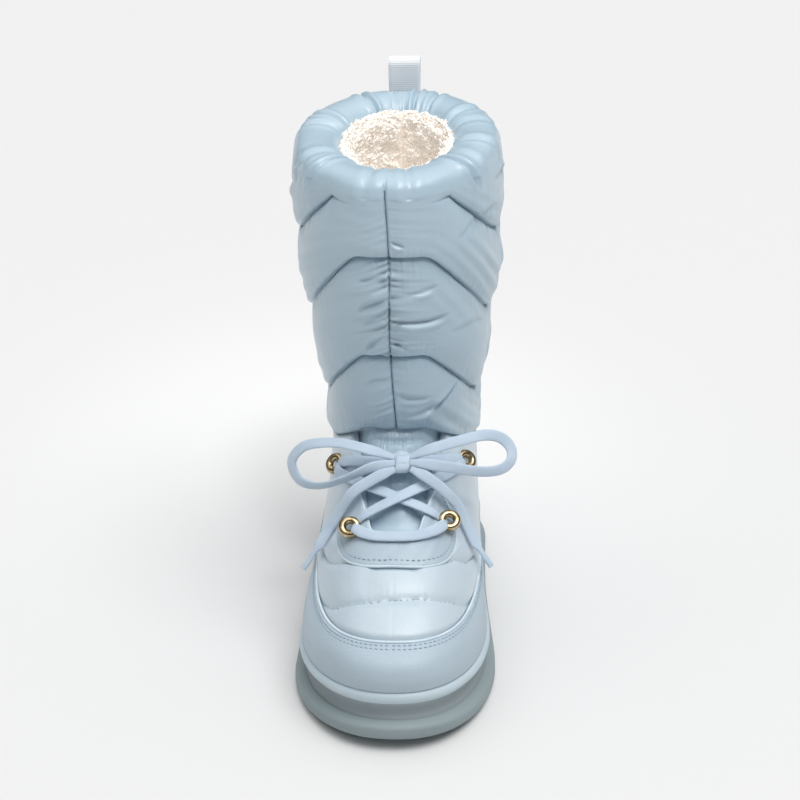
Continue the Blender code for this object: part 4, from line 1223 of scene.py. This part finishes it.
def turned(item, aim):
    item.rotation_euler = aim.to_track_quat("-Z", "Y").to_euler()


def make_floor_and_light():
    mesh = bpy.data.meshes.new("floor")
    corners = [(x * FLOOR_SIZE, y * FLOOR_SIZE, 0.0)
               for x, y in ((-1, -1), (1, -1), (1, 1), (-1, 1))]
    mesh.from_pydata(corners, [], [(0, 1, 2, 3)])
    mesh.materials.append(make_material("pale_floor", (0.80, 0.80, 0.80), 0.9))
    add_object("floor", mesh)
    make_world()
    sun = bpy.data.lights.new("soft_sun", "SUN")
    sun.energy = 1.25
    sun.angle = math.radians(38.0)
    turned(add_object("soft_sun", sun), Vector((-0.30, 0.22, -1.0)))
    spot = bpy.data.lights.new("collar_spot", "SPOT")
    spot.energy = 26.0
    spot.spot_size = math.radians(15.0)
    spot.spot_blend = 1.0
    spot.shadow_soft_size = 0.16
    item = add_object("collar_spot", spot)
    item.location = (0.20, -0.42, 1.25)
    turned(item, Vector((0.0, 0.085, 0.27)) - item.location)
    bpy.context.scene.view_settings.view_transform = "Standard"


def make_world():
    """A dome that is bright overhead and dim at the horizon, like a large soft box."""
    world = bpy.data.worlds.new("studio")
    bpy.context.scene.world = world
    world.use_nodes = True
    tree = world.node_tree
    back = tree.nodes["Background"]
    coords = new_node(tree, "TexCoord")
    parts = new_node(tree, "SeparateXYZ")
    ramp = new_node(tree, "ValToRGB")
    while len(ramp.color_ramp.elements) < len(SKY):
        ramp.color_ramp.elements.new(0.5)
    for element, (height, colour) in zip(ramp.color_ramp.elements, SKY):
        element.position = height
        element.color = (*colour, 1.0)
    tree.links.new(coords.outputs["Generated"], parts.inputs["Vector"])
    tree.links.new(parts.outputs["Z"], ramp.inputs["Fac"])
    tree.links.new(ramp.outputs["Color"], back.inputs["Color"])
    back.inputs["Strength"].default_value = 0.88


def make_camera():
    """The photograph's camera, turned the short way from the pair's middle to this boot."""
    place = Vector((0.0946, -1.2555, 0.7756))
    pair_middle = Vector((0.06855, -0.0035, 0.1494)) - place
    aim = Vector((0.0018, -0.0035, 0.1494)) - place
    camera = bpy.data.cameras.new("camera")
    camera.lens = 108.7
    camera.sensor_width = 36.0
    item = add_object("camera", camera)
    item.location = place
    turn = pair_middle.rotation_difference(aim)
    item.rotation_euler = (turn @ pair_middle.to_track_quat("-Z", "Y")).to_euler()
    bpy.context.scene.camera = item


# Laces

# Which way the flat of each strand faces, from its start to its end
LACE_FACING = {
    "lace_loop_left": (
        (0.1, -0.6, 0.8), (0.0, -0.5, 0.85), (0.0, -0.55, 0.75), (-0.5, -0.7, 0.3),
        (0.1, -0.8, -0.4), (0.2, -0.75, -0.3), (0.1, -0.8, 0.6),
    ),
    "lace_loop_right": (
        (-0.1, -0.6, 0.8), (0.0, -0.75, 0.6), (0.0, -0.8, 0.55), (0.5, -0.8, 0.2),
        (0.0, -0.95, 0.1), (0.0, -0.9, 0.3), (-0.1, -0.7, 0.7),
    ),
    "lace_end_left": (
        (0.0, -0.75, 0.65), (-0.1, -0.8, 0.55), (-0.3, -0.8, 0.5), (-0.4, -0.8, 0.4),
        (-0.5, -0.8, 0.2), (-0.6, -0.75, 0.2),
    ),
    "lace_end_right": (
        (0.0, -0.75, 0.65), (0.1, -0.8, 0.55), (0.3, -0.8, 0.5), (0.45, -0.8, 0.4),
        (0.5, -0.8, 0.2), (0.6, -0.75, 0.2),
    ),
}
LACE_SECTION = 14
WRAP_RINGS = 48
WRAP_SIDES = 12
# The strand over the knot: millimetres across, up and out from its middle
HUMP = ((-4.4, 2.0, -0.6), (-3.6, 4.2, 0.9), (-0.9, 5.9, 1.3), (2.0, 5.2, 0.6), (4.2, 2.6, -0.4))
RING_STEPS = 64
RING_SIDES = 28


def ribbon(name, path, normals, width, thick, replaced=()):
    """A flat tubular lace along a path, its flat side facing the normals."""
    count = len(path)
    width = np.broadcast_to(width, count)
    thick = np.broadcast_to(thick, count)
    ahead = unit(np.gradient(path, axis=0))
    normals = unit(normals - ahead * np.sum(normals * ahead, -1, keepdims=True))
    across = np.cross(normals, ahead)
    turn = circle(LACE_SECTION)
    a = squarer(np.cos(turn), 0.62) / 2.0
    b = squarer(np.sin(turn), 0.80) / 2.0
    points = (
        path[:, None] + across[:, None] * (width[:, None] * a)[..., None]
        + normals[:, None] * (thick[:, None] * b)[..., None]
    )
    uv = [(run / MM, side * LACE_WIDTH / MM) for run in run_along(path) for side in a]
    faces = tube_faces(count, LACE_SECTION)
    return piece(name, points, faces, LACE, replaced, sharp=60.0, uv=uv)


def make_bow():
    for name, route in BOW_ROUTES.items():
        loop = "loop" in name
        path, length = smooth_route(np.array(route) * MM, 110 if loop else 80)
        share = np.linspace(0.0, 1.0, len(path))
        normals = resample(LACE_FACING[name], len(path))
        near = smooth_step((np.minimum(share, 1.0 - share) if loop else share) / 0.10)
        width = LACE_WIDTH * (0.62 + 0.38 * near)
        thick = LACE_FLAT * (1.35 - 0.35 * near)
        if not loop:
            tip = smooth_step((share - 0.80) / 0.04)
            width = width * (1.0 - 0.50 * tip)
            thick = thick * (1.0 - 0.05 * tip)
        item = ribbon(name + "_flat", path, normals, width, thick, (name,))
        tuple(path[0])
        [tuple(p) for p in path]


def spot_on_upper(degrees, level, lift):
    """A place over the upper and the upper's normal there."""
    phi = np.array(math.radians(degrees))
    level = np.array(level)
    return upper_point(phi, level, np.array(lift)), upper_normal(phi, level)


def make_knot():
    """The wrap over the bow's middle, with the bundle that it holds."""
    lift = OVERLAY_SEAT + OVERLAY_THICK + 2.0 * GAP + LACE_THICK + GAP + KNOT_THICK / 2.0
    centre, normal = spot_on_upper(KNOT_ANGLE, KNOT_LEVEL, lift)
    across = unit(np.cross(np.array([0.0, 0.0, 1.0]), normal))
    rise = np.cross(normal, across)
    turn = circle(WRAP_RINGS)
    ring_rise = squarer(np.sin(turn), 0.72)[:, None]
    ring_out = squarer(np.cos(turn), 0.80)[:, None]
    path = (
        centre + rise * ring_rise * (KNOT_HEIGHT / 2.0 - 0.6 * MM)
        + normal * ring_out * (KNOT_THICK / 2.0 - 0.4 * MM)
    )
    outward = unit(path - centre)
    turn = circle(WRAP_SIDES)
    a = squarer(np.cos(turn), 0.7) / 2.0
    b = np.sin(turn) / 2.0
    points = (
        path[:, None] + across * ((a + 0.10 * ring_rise) * KNOT_WIDTH)[..., None]
        + outward[:, None] * (b * 1.9 * MM)[:, None]
    )
    uv = [(k * 0.6, side * 6.6) for k in range(WRAP_RINGS) for side in a]
    faces = grid_faces(WRAP_RINGS, WRAP_SIDES, True, True)
    piece("lace_knot_wrap", points, faces, LACE, ("lace_knot",), uv=uv)
    core = centre + across * (np.linspace(-0.52, 0.52, 12) * KNOT_WIDTH)[:, None]
    ribbon("lace_knot_core", core, normal, KNOT_HEIGHT * 0.72, KNOT_THICK * 0.72)
    path, _ = smooth_route(centre + np.array(HUMP) * MM @ np.array([across, rise, normal]), 26)
    ribbon("lace_knot_hump", path, normal + 0.5 * rise, 4.6 * MM, 2.3 * MM)


def ring_frame(name):
    angle, level, seat = RINGS[name]
    return spot_on_upper(angle, level, seat + GAP + RING_TUBE / 2.0)


def make_rings():
    for name in RINGS:
        centre, normal = ring_frame(name)
        inboard = np.array([-centre[0], 0.0, 0.0])
        inboard = unit(inboard - normal * np.dot(inboard, normal))
        axis = unit(normal + 0.75 * inboard - np.array([0.0, 0.15, 0.20]))
        side = unit(np.cross(axis, np.array([0.0, 0.0, 1.0])))
        around = circle(RING_STEPS)[:, None]
        about = circle(RING_SIDES)[None, :, None]
        arm = (np.cos(around) * side + np.sin(around) * np.cross(side, axis))[:, None]
        minor = 1.16 * RING_TUBE / 2.0
        major = (RING_OUTER + 0.4 * MM) / 2.0 - minor
        points = (
            centre + 1.6 * MM * normal + arm * (major + minor * np.cos(about))
            + axis * minor * np.sin(about)
        )
        faces = grid_faces(RING_STEPS, RING_SIDES, True, True)
        piece(name + "_brass", points, faces, BRASS, (name,))


# Laced run: piece, CAD nodes it stands for, start ring and depth in its hole, end ring
# and depth, then places as degrees, level and millimetres off the skin
LACED = (
    ("lace_bar_flat", ("lace_bar",), ("eyelet_lower_left", -1.0), ("eyelet_lower_right", -1.0),
     ((-21.8, 0.612, 6.6), (-17.4, 0.605, 5.0), (-10.0, 0.604, 4.2), (1.2, 0.606, 4.2),
      (12.0, 0.606, 4.2), (22.0, 0.612, 5.0), (27.0, 0.624, 6.6))),
    ("lace_rising_left_flat", ("lace_crossings",), ("eyelet_lower_right", -1.6),
     ("eyelet_upper_left", -1.0),
     ((26.5, 0.663, 2.9), (20.0, 0.690, 3.6), (3.5, 0.745, 3.2), (-20.0, 0.785, 4.0),
      (-40.0, 0.808, 4.4), (-47.5, 0.820, 5.0))),
    ("lace_rising_right_flat", ("lace_crossings",), ("eyelet_lower_left", -1.6),
     ("eyelet_upper_right", -1.0),
     ((-22.2, 0.645, 2.9), (-15.6, 0.682, 4.0), (3.5, 0.748, 6.0), (24.0, 0.800, 4.6),
      (42.0, 0.835, 4.4), (50.0, 0.846, 5.0))),
    ("lace_under_left_flat", ("lace_crossings",), ("eyelet_upper_left", -1.6), None,
     ((-47.0, 0.850, 3.4), (-30.0, 0.868, 4.2), (-10.0, 0.862, 4.6), (KNOT_ANGLE, 0.852, 5.4))),
    ("lace_under_right_flat", ("lace_crossings",), ("eyelet_upper_right", -1.6), None,
     ((50.0, 0.868, 3.4), (34.0, 0.876, 4.2), (16.0, 0.866, 4.6), (KNOT_ANGLE, 0.852, 5.4))),
)


def make_laces():
    """The laced run: each lace goes into a ring's hole at its start, and most at both ends."""
    for name, replaced, start, end, places in LACED:
        centre, normal = ring_frame(start[0])
        spots = [(centre + normal * start[1] * MM, normal)]
        spots += [spot_on_upper(angle, level, lift * MM) for angle, level, lift in places]
        if end is not None:
            centre, normal = ring_frame(end[0])
            spots.append((centre + normal * end[1] * MM, normal))
        route, normals = zip(*spots)
        count = 90 if end is None else 120
        path, _ = smooth_route(route, count)
        share = np.linspace(0.0, 1.0, count)
        near = share if end is None else np.minimum(share, 1.0 - share)
        width = LACE_WIDTH * (0.66 + 0.34 * smooth_step(near / 0.14))
        ribbon(name, path, resample(normals, count), width, LACE_FLAT, replaced)


# Pull loop

LOOP_STRIP = 0.0014
LOOP_SLOT = 0.0065
LOOP_HALF = 0.0095
# Points along each side of the loop and across each face of its strip
LOOP_STEPS = 30
LOOP_ACROSS = 20


def make_pull_loop():
    """The webbing loop, its strip rounded at the edges."""
    low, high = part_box("pull_loop")
    seat = low.y + LOOP_STRIP / 2.0
    radius = (LOOP_SLOT + LOOP_STRIP) / 2.0
    bend = high.z - LOOP_STRIP / 2.0 - radius
    foot = low.z + LOOP_STRIP / 2.0
    share = np.linspace(0.0, 1.0, LOOP_STEPS)
    arc = np.linspace(0.0, math.pi, 20)[1:-1]
    spread = mix(2.0 * radius, LOOP_STRIP + GAP, smooth_step(share * 1.5))
    y = np.concatenate([np.full(LOOP_STEPS, seat), seat + radius * (1.0 - np.cos(arc)),
                        seat + spread])
    z = np.concatenate([mix(foot, bend, share), bend + radius * np.sin(arc),
                        mix(bend, foot, share)])
    count = len(y)
    ahead = unit(np.gradient(np.stack([y, z], -1), axis=0))
    across = np.linspace(-1.0, 1.0, LOOP_ACROSS)
    across = np.concatenate([across, across[::-1]])
    rounding = 1.0 - np.clip((np.abs(across) - 0.93) / 0.07, 0.0, 1.0) ** 2
    thin = np.sqrt(np.clip(rounding, 0.04, 1.0)) * LOOP_STRIP / 2.0
    thin[LOOP_ACROSS:] *= -1.0
    wobble = 0.25 * MM * np.sin(np.linspace(0.0, 5.0, count))[:, None] * across
    points = stack(
        (low.x + high.x) / 2.0 + LOOP_HALF * across,
        y[:, None] - ahead[:, 1:] * thin + wobble,
        z[:, None] + ahead[:, :1] * thin,
    )
    faces = tube_faces(count, 2 * LOOP_ACROSS)
    piece("pull_loop_webbing", points, faces, WEBBING, ("pull_loop",), sharp=60.0)


def dress_nodes():
    """CAD nodes whose shape is right keep it and get their finish."""
    # The insole takes the pile's finish with its painted glow
    for node, material in (("outsole", TREAD_RUBBER), ("insole", PILE_WITH_PAINTED_GLOW)):
        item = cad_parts[node]
        item.data.materials.clear()
        item.data.materials.append(material)


make_camera()
make_bow()
make_floor_and_light()
make_knot()
make_rings()
make_laces()
make_shaft()
make_shaft_seam_shadows()
make_pile()
make_upper()
make_rand()
make_eyestay()
make_vamp_stitches()
make_tongue()
make_midsole()
make_tread_band()
make_pull_loop()
dress_nodes()
